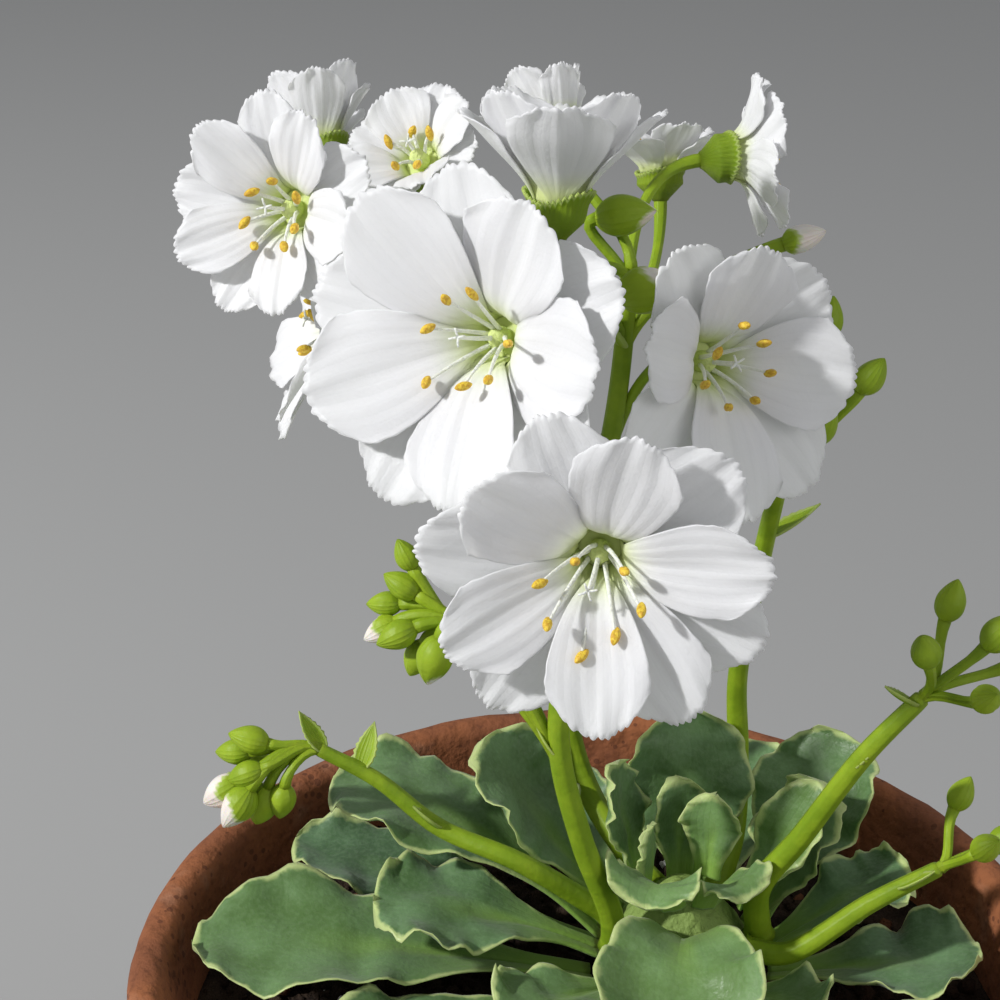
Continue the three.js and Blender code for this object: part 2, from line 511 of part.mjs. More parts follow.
// The calyx under a flower: a receptacle that widens into a thin cup of two sepal lobes outside the petals
function calyxGeometry(flower, index) {
  const frame = flowerFrame(flower);
  const sides = 6;
  const turn = flower.first + 50 + draw(index + 0.7, 30);
  const at = (direction, radius, height) =>
    frame.seat.clone().addScaledVector(direction, radius).addScaledVector(frame.axis, height);
  const bendAt = (s) => {
    const petal = (s * SEPAL_LENGTH) / flower.length / 0.45;
    return (CLAW_ANGLE + 14 + (flower.open - CLAW_ANGLE) * smooth(petal)) * DEG;
  };
  const ribs = Array.from({ length: sides }, (_, k) => {
    const angle = (360 * k) / sides;
    const direction = outward(frame, turn + angle);
    const lobe = 0.5 + 0.5 * Math.cos(angle * DEG) ** 2;
    const line = bladeLine(frame, direction, 2.1, -0.4, SEPAL_LENGTH, bendAt);
    const bend = bendAt(lobe);
    const outside = direction.clone().multiplyScalar(Math.cos(bend))
      .addScaledVector(frame.axis, -Math.sin(bend));
    const rim = line(lobe);
    const outer = rim.clone().addScaledVector(outside, SEPAL_THICKNESS);
    return [at(direction, PEDICEL_RADIUS + 0.1, -RECEPTACLE_LENGTH), at(direction, 2.3, -1.2), outer, rim,
      at(direction, 2.1, -0.4)];
  });
  const foot = at(frame.axis, 0, -RECEPTACLE_LENGTH);
  const top = at(frame.axis, 0, -0.1);
  const corners = ribs.flatMap((rib, k) => {
    const next = ribs[(k + 1) % sides];
    const bands = [0, 1, 2, 3].flatMap((i) =>
      [rib[i], next[i], next[i + 1], rib[i], next[i + 1], rib[i + 1]]);
    return [foot, next[0], rib[0], ...bands, top, rib[4], next[4]];
  });
  return { foot, axis: frame.axis, geometry: geometryFrom(corners) };
}

// A stalk that leaves the stem along its run and comes up into what it carries along that piece's axis
function stalk(stem, share, foot, axis, sides, steps) {
  const root = stem.getPoint(share);
  const length = root.distanceTo(foot);
  const near = root.clone().addScaledVector(stem.getTangent(share), length * 0.35);
  const end = foot.clone().addScaledVector(axis, 0.5);
  const far = foot.clone().addScaledVector(axis, -length * 0.35);
  return tube(new THREE.CubicBezierCurve3(root, near, far, end), PEDICEL_RADIUS, sides, steps);
}

// A direction leaning from straight up, towards an angle round from the viewer's side
function leaning(lean, turn) {
  const [a, b] = [lean * DEG, turn * DEG];
  return new THREE.Vector3(Math.sin(a) * Math.sin(b), -Math.sin(a) * Math.cos(b), Math.cos(a));
}

// The middle of a stem's foot, which lies against the crown's slope whichever way the stem leaves it
function stemFoot({ from, through, radius }) {
  const slope = (MIDDLE.radius - UPPER.radius) / (UPPER.height - MIDDLE.height);
  const off = vec([Math.cos(from * DEG), Math.sin(from * DEG), slope]).normalize();
  const touch = onCrown(SCAPES, from, 0);
  const leaving = vec(through[0]).sub(touch).normalize();
  const spread = radius * Math.sqrt(1 - leaving.dot(off) ** 2);
  return touch.addScaledVector(off, SEAT_GAP + 0.1 + spread);
}

// A flower stem with the stalks, calyxes, buds and bracts that it carries
function scapeGeometry(scape, index) {
  const stem = new THREE.CatmullRomCurve3([stemFoot(scape), ...scape.through.map(vec)]);
  const pieces = [tube(stem, scape.radius, 6, 2 + 2 * scape.through.length)];
  for (const [number, share] of scape.flowers) {
    const calyx = calyxGeometry(FLOWERS[number], number);
    pieces.push(calyx.geometry, stalk(stem, share, calyx.foot, calyx.axis, 4, 3));
  }
  for (const [x, y, z, lean, turn, length, share] of scape.buds) {
    const axis = leaning(lean, turn);
    const foot = vec([x, y, z]);
    const profile = [[0, 0], [0.33, 0.26], [0.31, 0.66], [0, 1]];
    const bud = turned(profile.map(([radius, height]) => [radius * length, height * length]), 5);
    pieces.push(aimed(bud, foot, axis), stalk(stem, share, foot, axis, 3, 1));
  }
  for (const [k, [share, turn, length]] of scape.bracts.entries()) {
    const axis = leaning(55 + draw(index + 0.1 * k, 12), turn);
    const side = axis.clone().cross(UP).normalize();
    const normal = side.clone().cross(axis);
    const root = stem.getPoint(share);
    pieces.push(blade([[0, 2], [0.5, 2], [1, 2]], SEPAL_THICKNESS, (s, v) => {
      const half = 0.8 + 1.5 * Math.sin(Math.PI * s ** 0.8) * (1 - 0.3 * s);
      const point = root.clone().addScaledVector(axis, length * s).addScaledVector(side, half * v)
        .addScaledVector(normal, 0.35 * half * v * v + 1.2 * s * s);
      return { point, normal };
    }));
  }
  return fuse(pieces);
}

// Materials
const material = (color, roughness) => new THREE.MeshStandardMaterial({ color, roughness, metalness: 0 });
const TERRACOTTA = material(0xa4583a, 0.9);
const SOIL = material(0x2a211b, 1);
const CROWN = material(0x7c7a4c, 0.8);
const LEAF = material(0x6f9378, 0.55);
const STEM = material(0x93b93c, 0.5);
const PETAL = material(0xf3f3f1, 0.6);
const STAMEN = material(0xe8c23e, 0.6);

const plant = new THREE.Group();
function add(name, geometry, look) {
  const mesh = new THREE.Mesh(geometry, look);
  mesh.name = name;
  plant.add(mesh);
}

const numbered = (name, index) => `${name}_${String(index + 1).padStart(2, "0")}`;
add("pot", potGeometry(), TERRACOTTA);
add("soil", soilGeometry(), SOIL);
add("crown", turned(crownProfile(), 16).translate(CROWN_X, CROWN_Y, 0), CROWN);
LEAVES.forEach((leaf, i) => add(numbered("leaf", i), leafGeometry(leaf, i), LEAF));
SCAPE_LIST.forEach((scape, i) => add(`scape_${i + 1}`, scapeGeometry(scape, i), STEM));
FLOWERS.forEach((flower, i) => {
  add(numbered("corolla", i), corollaGeometry(flower, i), PETAL);
  add(numbered("stamens", i), stamensGeometry(flower, i), STAMEN);
});

export default plant;
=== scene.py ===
"""A white lewisia in bloom in a terracotta pot, as an add-on that lays finer pieces over the packed solids.

The tables below are in millimetres and degrees. Every piece is made in metres, in the frame's own axes:
+Z is up, the origin is the middle of the pot's underside, and the viewer is on the -Y side.
"""

import math
from collections import namedtuple

import bpy
import numpy as np
from bpy.props import FloatProperty, FloatVectorProperty, IntProperty, PointerProperty
from bpy.types import Operator, Panel, PropertyGroup
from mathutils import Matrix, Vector


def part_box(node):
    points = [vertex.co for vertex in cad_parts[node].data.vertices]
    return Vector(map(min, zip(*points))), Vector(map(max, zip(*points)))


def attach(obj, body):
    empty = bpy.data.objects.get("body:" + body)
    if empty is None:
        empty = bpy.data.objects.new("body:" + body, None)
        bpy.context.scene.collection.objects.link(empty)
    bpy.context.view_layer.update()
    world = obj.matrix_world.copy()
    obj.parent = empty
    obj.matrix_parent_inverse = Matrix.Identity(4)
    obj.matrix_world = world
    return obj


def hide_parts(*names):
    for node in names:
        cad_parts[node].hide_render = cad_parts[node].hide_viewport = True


bl_info = {
    "name": "Potted Lewisia",
    "version": (1, 0, 0),
    "blender": (4, 5, 0),
    "location": "3D View > Sidebar > Lewisia",
    "description": "Grows a white lewisia with its leaves, stems, buds and flowers in a terracotta pot",
    "category": "Add Mesh",
}

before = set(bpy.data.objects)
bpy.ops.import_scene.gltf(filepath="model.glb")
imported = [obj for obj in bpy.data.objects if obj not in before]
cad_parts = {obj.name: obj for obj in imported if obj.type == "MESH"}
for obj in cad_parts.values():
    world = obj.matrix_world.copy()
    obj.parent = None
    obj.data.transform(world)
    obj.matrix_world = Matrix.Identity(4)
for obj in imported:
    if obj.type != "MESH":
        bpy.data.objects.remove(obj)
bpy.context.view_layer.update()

MM = 0.001
DEG = math.pi / 180
UP = np.array([0.0, 0.0, 1.0])
BODY = "root"

# The pot, with its height and rim read from the frame. INNER_RIM is how far under the rim the inner wall
# ends, RIM_TAPER how much narrower the band's foot is, and each corner of the outline has its reach.
POT_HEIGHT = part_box("pot")[1].z / MM
RIM_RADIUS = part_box("pot")[1].x / MM
RIM_BAND_HEIGHT = 24
RIM_BAND_STEP = 3
WALL = 5
BASE_RADIUS = 40
FLOOR_THICKNESS = 7
DRAIN_RADIUS = 6.5
INNER_RIM = 3.4
RIM_TAPER = 2
CORNER_REACHES = (0.6, 1.8, 0.7, 1.5, 2.9, 2.3, 4, 0.8)
RING_SPACING = 1.15

# The soil with its crumbs, the crown that leaves and stems grow from, and the gap between neighbours
SEAT_GAP = 0.3
SEAT_SLACK = 0.1
SOIL_TOP = POT_HEIGHT - 12
SOIL_BUMP = 0.8
SOIL_SIDES = 120
SOIL_RINGS = 64
SOIL_MIDDLE = 0.8
CRUMB_SHAPE = (1, 1, 0.75)
BARK_SHAPE = (1.9, 1, 0.35)
PERLITE_SHAPE = (1, 0.9, 0.8)
CRUMB_RINGS = 5
CRUMB_SIDES = 7
CROWN_X = 11
CROWN_Y = 7
CROWN_RINGS = 72
CROWN_SIDES = 72
ROOT_DEPTH = 22

# Tiers of the crown: the height above the soil and the crown's radius where pieces leave it
Tier = namedtuple("Tier", "height radius")
LOW = Tier(2.6, 11)
MIDDLE = Tier(6.2, 10)
SCAPES = Tier(9.4, 8.6)
UPPER = Tier(12.6, 6.4)
HEART = Tier(15.8, 3.6)

# Sections of leaves, flowers and stems. The first flowers are large and have the finer grid of petals.
LEAF_THICKNESS = 1.0
LEAF_BODY_ROWS = 30
LEAF_TIP_ROWS = 18
LEAF_COLUMNS = 29
WIDEST = 0.72
PETAL_THICKNESS = 0.34
CLAW_PART = 0.1
SCALLOPS = 11
LARGE_FLOWERS = 5
LARGE_PETAL_GRID = (25, 53)
SMALL_PETAL_GRID = (20, 41)
HUB_RADIUS = 2.2
HUB_HEIGHT = 1.8
LAYER_ANGLE = 9
LAYER_RISE = 0.5
CLAW_ANGLE = 18
RECEPTACLE_LENGTH = 2.6
SEPAL_LENGTH = 3.9
SEPAL_TEETH = 34
STEM_RINGS = 72
STEM_SIDES = 24
STALK_RADIUS = 0.62
STALK_SIDES = 14
BUD_RINGS = 22
BUD_SIDES = 28
FILAMENT_RADIUS = 0.22
STYLE_RADIUS = 0.24
STYLE_BRANCHES = (20, 110, 200, 290)
ANTHER_LENGTH = 2
ANTHER_RADIUS = 0.5
ANTHER_SIDES = 16

# Profiles as pairs of radius and height: the ring that petals sit on, and a calyx's neck and floor
HUB_PROFILE = ((0.5, 0.32), (1.9, 0.4), (2.3, 0.8), (2.3, 1.1), (2.0, 1.3), (1.4, 1.25), (0.5, 1.2))
HUB_SIDES = 36
CALYX_NECK = ((0.55, -RECEPTACLE_LENGTH - 0.05), (0.95, -RECEPTACLE_LENGTH), (1.15, -2.3), (1.7, -1.75))
CALYX_FLOOR = ((1.4, -0.25), (0.6, -0.12))

# Steps along curves and round corners, the sines in a ripple, and an edge mark that shows no pale rim
LINE_STEPS = 96
CORNER_STEPS = 6
RIPPLE_WAVES = 14
FAR_FROM_EDGE = 5

# The camera at the photograph's viewing angle
CAMERA_PLACE = (0, -204.2, 266.5)
CAMERA_PITCH = -25.11
CAMERA_YAW = 3.48
CAMERA_LENS = 70.65
CAMERA_SENSOR = 36

# The stage in metres: half the floor, the lights' places and widths, and the point that they look at
FLOOR_REACH = 6.0
KEY_PLACE = (-0.98, -0.5, 0.9)
KEY_WIDTH = 0.08
FILL_PLACE = (0.9, -0.5, 0.5)
FILL_WIDTH = 0.8
LIGHT_TARGET = (0, 0, 0.15)
SKY_COLOUR = (0.95, 0.97, 1.0, 1)

# Leaves: where each leaves the crown, the place of its tip, how far its middle is arched up, its width, how
# far its sides turn up, the height and number of the waves along its margin, its roll and its foot's width
Leaf = namedtuple("Leaf", "tier turn tip arch width fold wave waves roll foot", defaults=(0, 3.8))
LEAVES = (
    Leaf(LOW, 187, (-52, -2.4, 107.6), 1.6, 21.4, 14, 1.3, 2.6, roll=-8),
    Leaf(LOW, 158, (-43, 25, 105), 0, 16, 14, 1.2, 2.8),
    Leaf(LOW, 212, (-35, -20, 104.5), 0, 16, 12, 1.2, 2.4),
    Leaf(LOW, 236, (-21, -38, 106), 0, 18, 14, 1.4, 2.6),
    Leaf(LOW, 262, (4, -44, 106), 0, 18, 14, 1.3, 2.4),
    Leaf(LOW, 290, (28, -38, 106), 0, 17, 14, 1.4, 2.7),
    Leaf(LOW, 322, (44, -20, 106), 0, 17, 14, 1.3, 2.5),
    Leaf(LOW, 2, (50, 4, 105), 0, 17, 14, 1.2, 2.5),
    Leaf(LOW, 38, (34, 32, 121), 0, 18, 14, 1.4, 2.5),
    Leaf(LOW, 72, (22, 46, 111), 0, 18, 14, 1.4, 2.5),
    Leaf(LOW, 122, (-14, 44, 110), 0, 18, 14, 1.4, 2.5),
    Leaf(MIDDLE, 184, (-29, 2, 111.5), 2, 20, 8, 1.5, 2.5),
    Leaf(MIDDLE, 162, (-36.5, 21, 118), 4.5, 20, 8, 1.5, 2.4, foot=4),
    Leaf(MIDDLE, 138, (-16, 20.5, 125.4), -1, 19, 12, 1.4, 2.3),
    Leaf(MIDDLE, 82, (11, 24.5, 129), -2, 18, 10, 1.3, 2.3),
    Leaf(MIDDLE, 30, (30, 18, 122), -1, 14, 14, 1.5, 2.3),
    Leaf(MIDDLE, 2, (41, 11, 113), 1, 14, 14, 1.3, 2.3),
    Leaf(UPPER, 272, (9.5, -22, 108.6), 6.6, 20, 28, 1.3, 2.3, foot=8),
    Leaf(MIDDLE, 228, (-10, -17, 109), 1, 15, 16, 1.3, 2.3),
    Leaf(MIDDLE, 305, (26, -14, 109), 1, 14, 16, 1.3, 2.3),
    Leaf(UPPER, 138, (1, 13.5, 126.5), -1, 12, 14, 1, 2),
    Leaf(UPPER, 92, (10.2, 16, 123.5), -1, 8, 18, 0.8, 2),
    Leaf(UPPER, 14, (28, 12, 126), -2, 9, 16, 0.9, 2, roll=40),
    Leaf(HEART, 240, (6, -5, 117.5), 3.6, 12, 26, 1, 2, foot=5),
    Leaf(HEART, 320, (18.4, -1.5, 116.5), 3.2, 9.5, 20, 0.9, 2, foot=5),
    Leaf(HEART, 45, (15, 12, 123.5), -0.5, 8, 16, 0.7, 2),
    Leaf(HEART, 165, (7, 8, 121), -0.5, 6, 16, 0.5, 2),
)

# Flowers: the middle of the throat, the way the flower looks (degrees round from the viewer's side, and up),
# its petals, their length and width, how far they open from the axis, the angle of the first petal, its
# stamens, how far the stamens' ends droop, and the angle of the side whose petals are longer, by what share,
# and how much less they open
Flower = namedtuple(
    "Flower", "throat face petals length width open first stamens droop heavy", defaults=(0.6, (0, 0, 0)),
)
FLOWERS = (
    Flower((-0.7, -27.7, 178.3), (-4, 1), 11, 18.6, 10.8, 80, 148.6, 7, 2.4, (60, -0.03, 5)),
    Flower((-11.6, -12.1, 195), (-30, 15), 10, 19.6, 13.4, 77, 12, 7, 0.6, (130, 0.11, 5)),
    Flower((9.8, -6, 190.5), (37, 15), 8, 16.6, 11.6, 70, 28, 7, 0.6, (320, -0.12, 5)),
    Flower((-35.7, 5, 203.3), (-24, 14), 10, 12.8, 7.8, 72, 84, 7),
    Flower((-6, -4, 208), (175, 78), 8, 14, 10.5, 46, 0, 5),
    Flower((-23.8, 27.8, 202.8), (-30, 50), 8, 8.7, 8, 66, 0, 5),
    Flower((-36.9, 34, 203.8), (-170, 55), 7, 9.3, 7, 42, 0, 4),
    Flower((-7.3, 13.2, 212), (-150, 50), 6, 6.4, 5, 34, 0, 4),
    Flower((5.2, 31, 202.2), (-170, 72), 7, 7.4, 7, 66, 0, 4),
    Flower((14.2, 20, 206), (98, 4), 8, 8.8, 8.2, 76, 0, 6),
    Flower((-31, 9.5, 188), (-78, 10), 8, 12, 9, 72, 0, 5, 0.6, (180, 0.2, 0)),
)

# Stems: where each leaves the crown, its radius, the points it runs through, the flowers it carries with
# the share of the stem where each stalk starts, its buds, and its bracts as (share, turn, length)
Stem = namedtuple("Stem", "turn radius through flowers buds bracts")
# A bud: the place of its foot, its lean from straight up and the way it leans, its length, the share of the
# stem where its stalk starts, and how much of it is green, with the rest white
Bud = namedtuple("Bud", "x y z lean turn length share green", defaults=(1.2,))
STEMS = (
    Stem(
        207, 1.6,
        ((1.8, 0.8, 112), (-2.2, -1.4, 125), (-5.2, -2, 140), (-3.6, -1, 157), (0.6, 1, 182), (1.9, 4, 198)),
        ((0, 0.5), (1, 0.66), (2, 0.72), (4, 0.97), (7, 0.99), (8, 0.86), (9, 0.9)),
        (
            Bud(0.2, -3, 196.6, 72, 78, 7.8, 0.9, 0.6),
            Bud(18.2, 4, 200.5, 68, 80, 5.2, 0.88, 0.35),
            Bud(-2.4, 3.6, 203.2, 80, 86, 7, 0.97, 0.85),
            Bud(-22.8, 3, 159.6, 30, 250, 4.4, 0.42),
            Bud(-22.2, 2, 156.8, 62, 258, 5, 0.42),
            Bud(-24.2, 2.6, 155.4, 96, 265, 4.6, 0.42),
            Bud(-24.6, 1, 153.9, 124, 268, 5.2, 0.42, 0.42),
            Bud(-22.2, -0.4, 154, 112, 285, 5.4, 0.42),
            Bud(-22.8, 3.4, 152.2, 122, 252, 5, 0.42),
            Bud(-21.4, 0.8, 151.4, 158, 268, 5.4, 0.42),
            Bud(-19.4, -1.4, 153.4, 166, 285, 6.8, 0.42, 0.85),
        ),
        ((0.47, 255, 7), (0.68, 100, 6), (0.9, 300, 6)),
    ),
    Stem(
        59, 1.7,
        ((18.4, 23, 110.5), (18.8, 28.4, 120), (18.2, 28.8, 131), (19.8, 21, 154), (20.8, 14, 168)),
        (),
        (
            Bud(23.5, 11, 174, 30, 60, 6, 1),
            Bud(29, 12, 180, 30, 80, 5.4, 0.98),
            Bud(24.5, 13, 186, 12, 120, 5.6, 1),
            Bud(19.5, 16, 180, 20, 260, 5.2, 0.97),
        ),
        ((0.84, 100, 8), (0.97, 280, 6)),
    ),
    Stem(
        353, 1.7,
        ((20.6, 4.8, 114), (25.2, 3, 123.4), (31.9, 0, 138), (38, -1, 147)),
        (),
        (
            Bud(44, -2, 154, 35, 80, 6, 1),
            Bud(40, 2.5, 155, 15, 120, 5.6, 1),
            Bud(47.5, 1, 150, 60, 90, 5.2, 0.98),
            Bud(43, -6.5, 149.5, 50, 20, 5.2, 0.97),
            Bud(37.5, -4.5, 153, 25, 320, 5.4, 0.98),
        ),
        ((0.7, 80, 7), (0.96, 300, 6)),
    ),
    Stem(
        334, 1.6,
        ((24.6, 1.6, 106.6), (34.6, 2, 114.6), (43, 2.6, 120)),
        (),
        (
            Bud(48.5, 3, 123, 60, 90, 5.6, 1),
            Bud(46, -1.5, 125, 40, 40, 5.2, 0.98),
            Bud(44.5, 7, 125.5, 35, 130, 5, 0.98),
        ),
        ((0.8, 60, 6),),
    ),
    Stem(
        168, 1.4,
        ((-10.3, 6.6, 115.6), (-21, 9, 119), (-29, 10.4, 125), (-37, 10.5, 129.6)),
        (),
        (
            Bud(-42.6, 9, 130.8, 76, 268, 5.6, 1),
            Bud(-46, 6.6, 126.8, 128, 262, 7, 1, 0.3),
            Bud(-44.6, 5.4, 126.6, 144, 288, 6.8, 0.99, 0.5),
            Bud(-45, 9.4, 129.4, 98, 262, 5.2, 0.99),
            Bud(-43, 6.8, 128.6, 110, 276, 5.4, 0.99),
            Bud(-42.8, 7.6, 125.6, 162, 266, 6.6, 0.98),
            Bud(-40.6, 7, 126.2, 170, 275, 5.4, 0.97),
            Bud(-43, 11, 127, 122, 250, 5.4, 0.98),
        ),
        ((0.5, 300, 5.5), (0.82, 160, 6.5), (0.97, 240, 6)),
    ),
    Stem(
        112, 1.7,
        ((-1, 27, 112), (-4.6, 30.4, 122), (-4, 28, 148), (-12, 24, 176), (-21, 21, 187)),
        ((3, 0.98), (5, 1), (6, 0.99), (10, 0.95)),
        (
            Bud(-34, 13, 200.5, 25, 250, 5.6, 0.99),
            Bud(-15, 24, 191, 40, 90, 5, 0.9),
        ),
        ((0.6, 90, 7), (0.93, 250, 6)),
    ),
)


# Numbers and curves

def smooth(t):
    """0 up to t = 0, 1 from t = 1, and t²(3 − 2t) between."""
    t = np.clip(t, 0, 1)
    return t * t * (3 - 2 * t)


def bell(x, width):
    """exp(−(x/width)²), which is 1 at x = 0."""
    return np.exp(-((x / width) ** 2))


def draw(seed, amount):
    """A fixed draw between −amount and amount: (2·frac(sin(12.9898·seed)·43758.5453) − 1)·amount."""
    x = np.sin(np.asarray(seed) * 12.9898) * 43758.5453
    return (2 * (x - np.floor(x)) - 1) * amount


def unit(vectors):
    """Vectors brought to length 1."""
    return vectors / np.linalg.norm(vectors, axis=-1, keepdims=True)


def moved(points, *steps):
    """Points moved by steps of a direction and a distance for each point: points + Σ direction·distance."""
    for direction, distance in steps:
        points = points + direction * distance[..., None]
    return points


def round_angles(count):
    """Angles at even steps once round, in radians."""
    return np.linspace(0, 2 * np.pi, count, endpoint=False)


def upright(axis):
    """Up, or +Y where the axis itself runs nearly up or down."""
    return UP if abs(axis[2]) < 0.9 else np.array([0.0, 1.0, 0.0])


def leaning(lean, turn):
    """A direction that leans from straight up by an angle, the way of a turn from the viewer's side."""
    lean, turn = lean * DEG, turn * DEG
    return np.array([math.sin(lean) * math.sin(turn), -math.sin(lean) * math.cos(turn), math.cos(lean)])


def ripples(points, size, seed):
    """A smooth random field of about unit height: a sum of sines, about size long, that run every way."""
    random = np.random.default_rng(seed)
    ways = unit(random.normal(size=(RIPPLE_WAVES, 3))) * (2 * np.pi / size)
    ways = ways * random.uniform(0.6, 1.6, (RIPPLE_WAVES, 1))
    phases = random.uniform(0, 2 * np.pi, RIPPLE_WAVES)
    return np.sin(points @ ways.T + phases).sum(-1) / math.sqrt(RIPPLE_WAVES / 2)


def stepped(points, t):
    """Places at shares t along an open line of points, straight between them and past its ends."""
    last = len(points) - 1
    at = np.asarray(t) * last
    i = np.clip(np.floor(at), 0, last - 1).astype(int)
    return points[i] + (points[i + 1] - points[i]) * (at - i)[..., None]


def bent_line(start, axis, direction, length, bend):
    """A line that leaves start at an angle bend(s) from axis towards direction. It is the sum of short steps
    (axis·cos b + direction·sin b)·length/LINE_STEPS, and comes back as a function of s."""
    b = bend((np.arange(LINE_STEPS) + 0.5) / LINE_STEPS)[:, None]
    steps = (axis * np.cos(b) + direction * np.sin(b)) * length / LINE_STEPS
    points = np.vstack([start, start + np.cumsum(steps, axis=0)])
    return lambda t: stepped(points, t)


def bezier(controls, t):
    """The Bezier curve Σ C(n, i)·(1 − t)^(n − i)·t^i·controls[i]."""
    n = len(controls) - 1
    t = np.asarray(t, float)[..., None]
    weights = (math.comb(n, i) * (1 - t) ** (n - i) * t ** i for i in range(n + 1))
    return sum(weight * np.asarray(p) for weight, p in zip(weights, controls))


def through_points(points, t):
    """A centripetal Catmull-Rom curve through the points: between points 1 and 2 of four neighbours, the
    cubic that meets them with tangents weighed by the square roots of the three distances."""
    p = np.asarray(points, float)
    p = np.vstack([2 * p[0] - p[1], p, 2 * p[-1] - p[-2]])
    at = np.clip(np.asarray(t, float), 0, 1) * (len(points) - 1)
    i = np.minimum(np.floor(at), len(points) - 2).astype(int)
    w = (at - i)[..., None]
    a, b, c, d = p[i], p[i + 1], p[i + 2], p[i + 3]
    k0, k1, k2 = (np.sqrt(np.linalg.norm(q, axis=-1, keepdims=True)) for q in (b - a, c - b, d - c))
    start = ((b - a) / k0 - (c - a) / (k0 + k1) + (c - b) / k1) * k1
    end = ((c - b) / k1 - (d - b) / (k1 + k2) + (d - c) / k2) * k1
    return b + start * w + (3 * (c - b) - 2 * start - end) * w ** 2 + (2 * (b - c) + start + end) * w ** 3


def even_shares(place, count):
    """Shares t that lie at even distances along the curve place(t)."""
    fine = np.linspace(0, 1, 400)
    run = np.concatenate([[0], np.cumsum(np.linalg.norm(np.diff(place(fine), axis=0), axis=1))])
    return np.interp(np.linspace(0, run[-1], count), run, fine)


# Meshes

def placed(name, data):
    """A new object in the scene that shows the data."""
    piece = bpy.data.objects.new(name, data)
    bpy.context.scene.collection.objects.link(piece)
    return piece


MARKS = ("along", "across", "edge", "pale", "shade", "face")


class Net:
    """Closed shells gathered into one mesh, in millimetres, with marks on every point that the finishes read:
    along and across its blade or tube, the distance to its edge, how pale it is, a shade of its own, and
    its face."""

    def __init__(self):
        self.points = []
        self.faces = []
        self.marks = {name: [] for name in MARKS}
        self.count = 0

    def add(self, points, *face_groups, **marks):
        """Adds one closed shell or many alike ones, turned the right way out by its signed volume."""
        flat = points.reshape(-1, 3)
        inside_out = sum(signed_volume(flat, faces) for faces in face_groups) < 0
        for faces in face_groups:
            turned = faces[:, ::-1] if inside_out else faces
            self.faces.extend((turned + self.count).tolist())
        for name in MARKS:
            value = np.asarray(marks.get(name, 0.0), float)
            self.marks[name].append(np.broadcast_to(value, points.shape[:-1]).reshape(-1))
        self.points.append(flat)
        self.count += len(flat)

    def build(self, name, node, material):
        """Makes the mesh in metres and lets it stand for a node of the frame."""
        mesh = bpy.data.meshes.new(name)
        mesh.from_pydata((np.concatenate(self.points) * MM).tolist(), [], self.faces)
        for mark, parts in self.marks.items():
            attribute = mesh.attributes.new(mark, "FLOAT", "POINT")
            attribute.data.foreach_set("value", np.concatenate(parts).astype(np.float32))
        mesh.polygons.foreach_set("use_smooth", np.ones(len(mesh.polygons), bool))
        mesh.materials.append(material)
        mesh.update()
        piece = placed(name, mesh)
        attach(piece, BODY)
        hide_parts(node)
        return piece


def signed_volume(points, faces):
    """The volume under faces split into fans: Σ p0·(p1 × p2)/6, above 0 where they point outwards."""
    centre = points.mean(axis=0)
    total = 0.0
    for i in range(1, faces.shape[1] - 1):
        a, b, c = (points[faces[:, j]] - centre for j in (0, i, i + 1))
        total += np.einsum("ij,ij->", a, np.cross(b, c)) / 6
    return total


def ring_quads(rows, columns, joined=False):
    """The quads of a grid of closed rings, numbered ring by ring; joined ties the last ring to the first."""
    i, j = np.meshgrid(np.arange(rows if joined else rows - 1), np.arange(columns), indexing="ij")
    this_ring = i * columns
    next_ring = (i + 1) % rows * columns
    k = (j + 1) % columns
    return np.stack([this_ring + j, this_ring + k, next_ring + k, next_ring + j], -1).reshape(-1, 4)


def pole_fans(rows, columns):
    """The triangles that close the first and last ring of a grid onto two poles numbered after its points."""
    j = np.arange(columns)
    k = (j + 1) % columns
    last = (rows - 1) * columns
    pole = rows * columns
    first_fan = np.stack([k, j, np.full(columns, pole)], -1)
    last_fan = np.stack([last + j, last + k, np.full(columns, pole + 1)], -1)
    return np.concatenate([first_fan, last_fan])


def add_rings(net, rings, **marks):
    """Adds a shell of rings whose ends close onto their middles."""
    rows, columns = rings.shape[:2]
    poles = np.stack([rings[0].mean(axis=0), rings[-1].mean(axis=0)])
    points = np.concatenate([rings.reshape(-1, 3), poles])
    flat = {}
    for name, value in marks.items():
        value = np.broadcast_to(np.asarray(value, float), (rows, columns))
        flat[name] = np.concatenate([value.reshape(-1), [value[0].mean(), value[-1].mean()]])
    net.add(points, ring_quads(rows, columns), pole_fans(rows, columns), **flat)


def add_blade(net, points, normals, thickness, **marks):
    """Adds a thin blade: its upper and under faces are points ± normal·thickness/2, joined all round."""
    rows, columns = points.shape[:2]
    lift = normals * np.broadcast_to(thickness, (rows, columns))[..., None] / 2
    rings = np.concatenate([points + lift, (points - lift)[:, ::-1]], axis=1)
    j = np.arange(columns - 1)
    strip = np.stack([j + 1, j, 2 * columns - 1 - j, 2 * columns - 2 - j], -1)
    ends = np.concatenate([strip, strip[:, ::-1] + (rows - 1) * 2 * columns])
    both = {}
    for name, value in marks.items():
        value = np.broadcast_to(np.asarray(value, float), (rows, columns))
        both[name] = np.concatenate([value, value[:, ::-1]], axis=1)
    side = np.concatenate([np.ones((rows, columns)), np.zeros((rows, columns))], axis=1)
    net.add(rings, ring_quads(rows, 2 * columns), ends, face=side, **both)


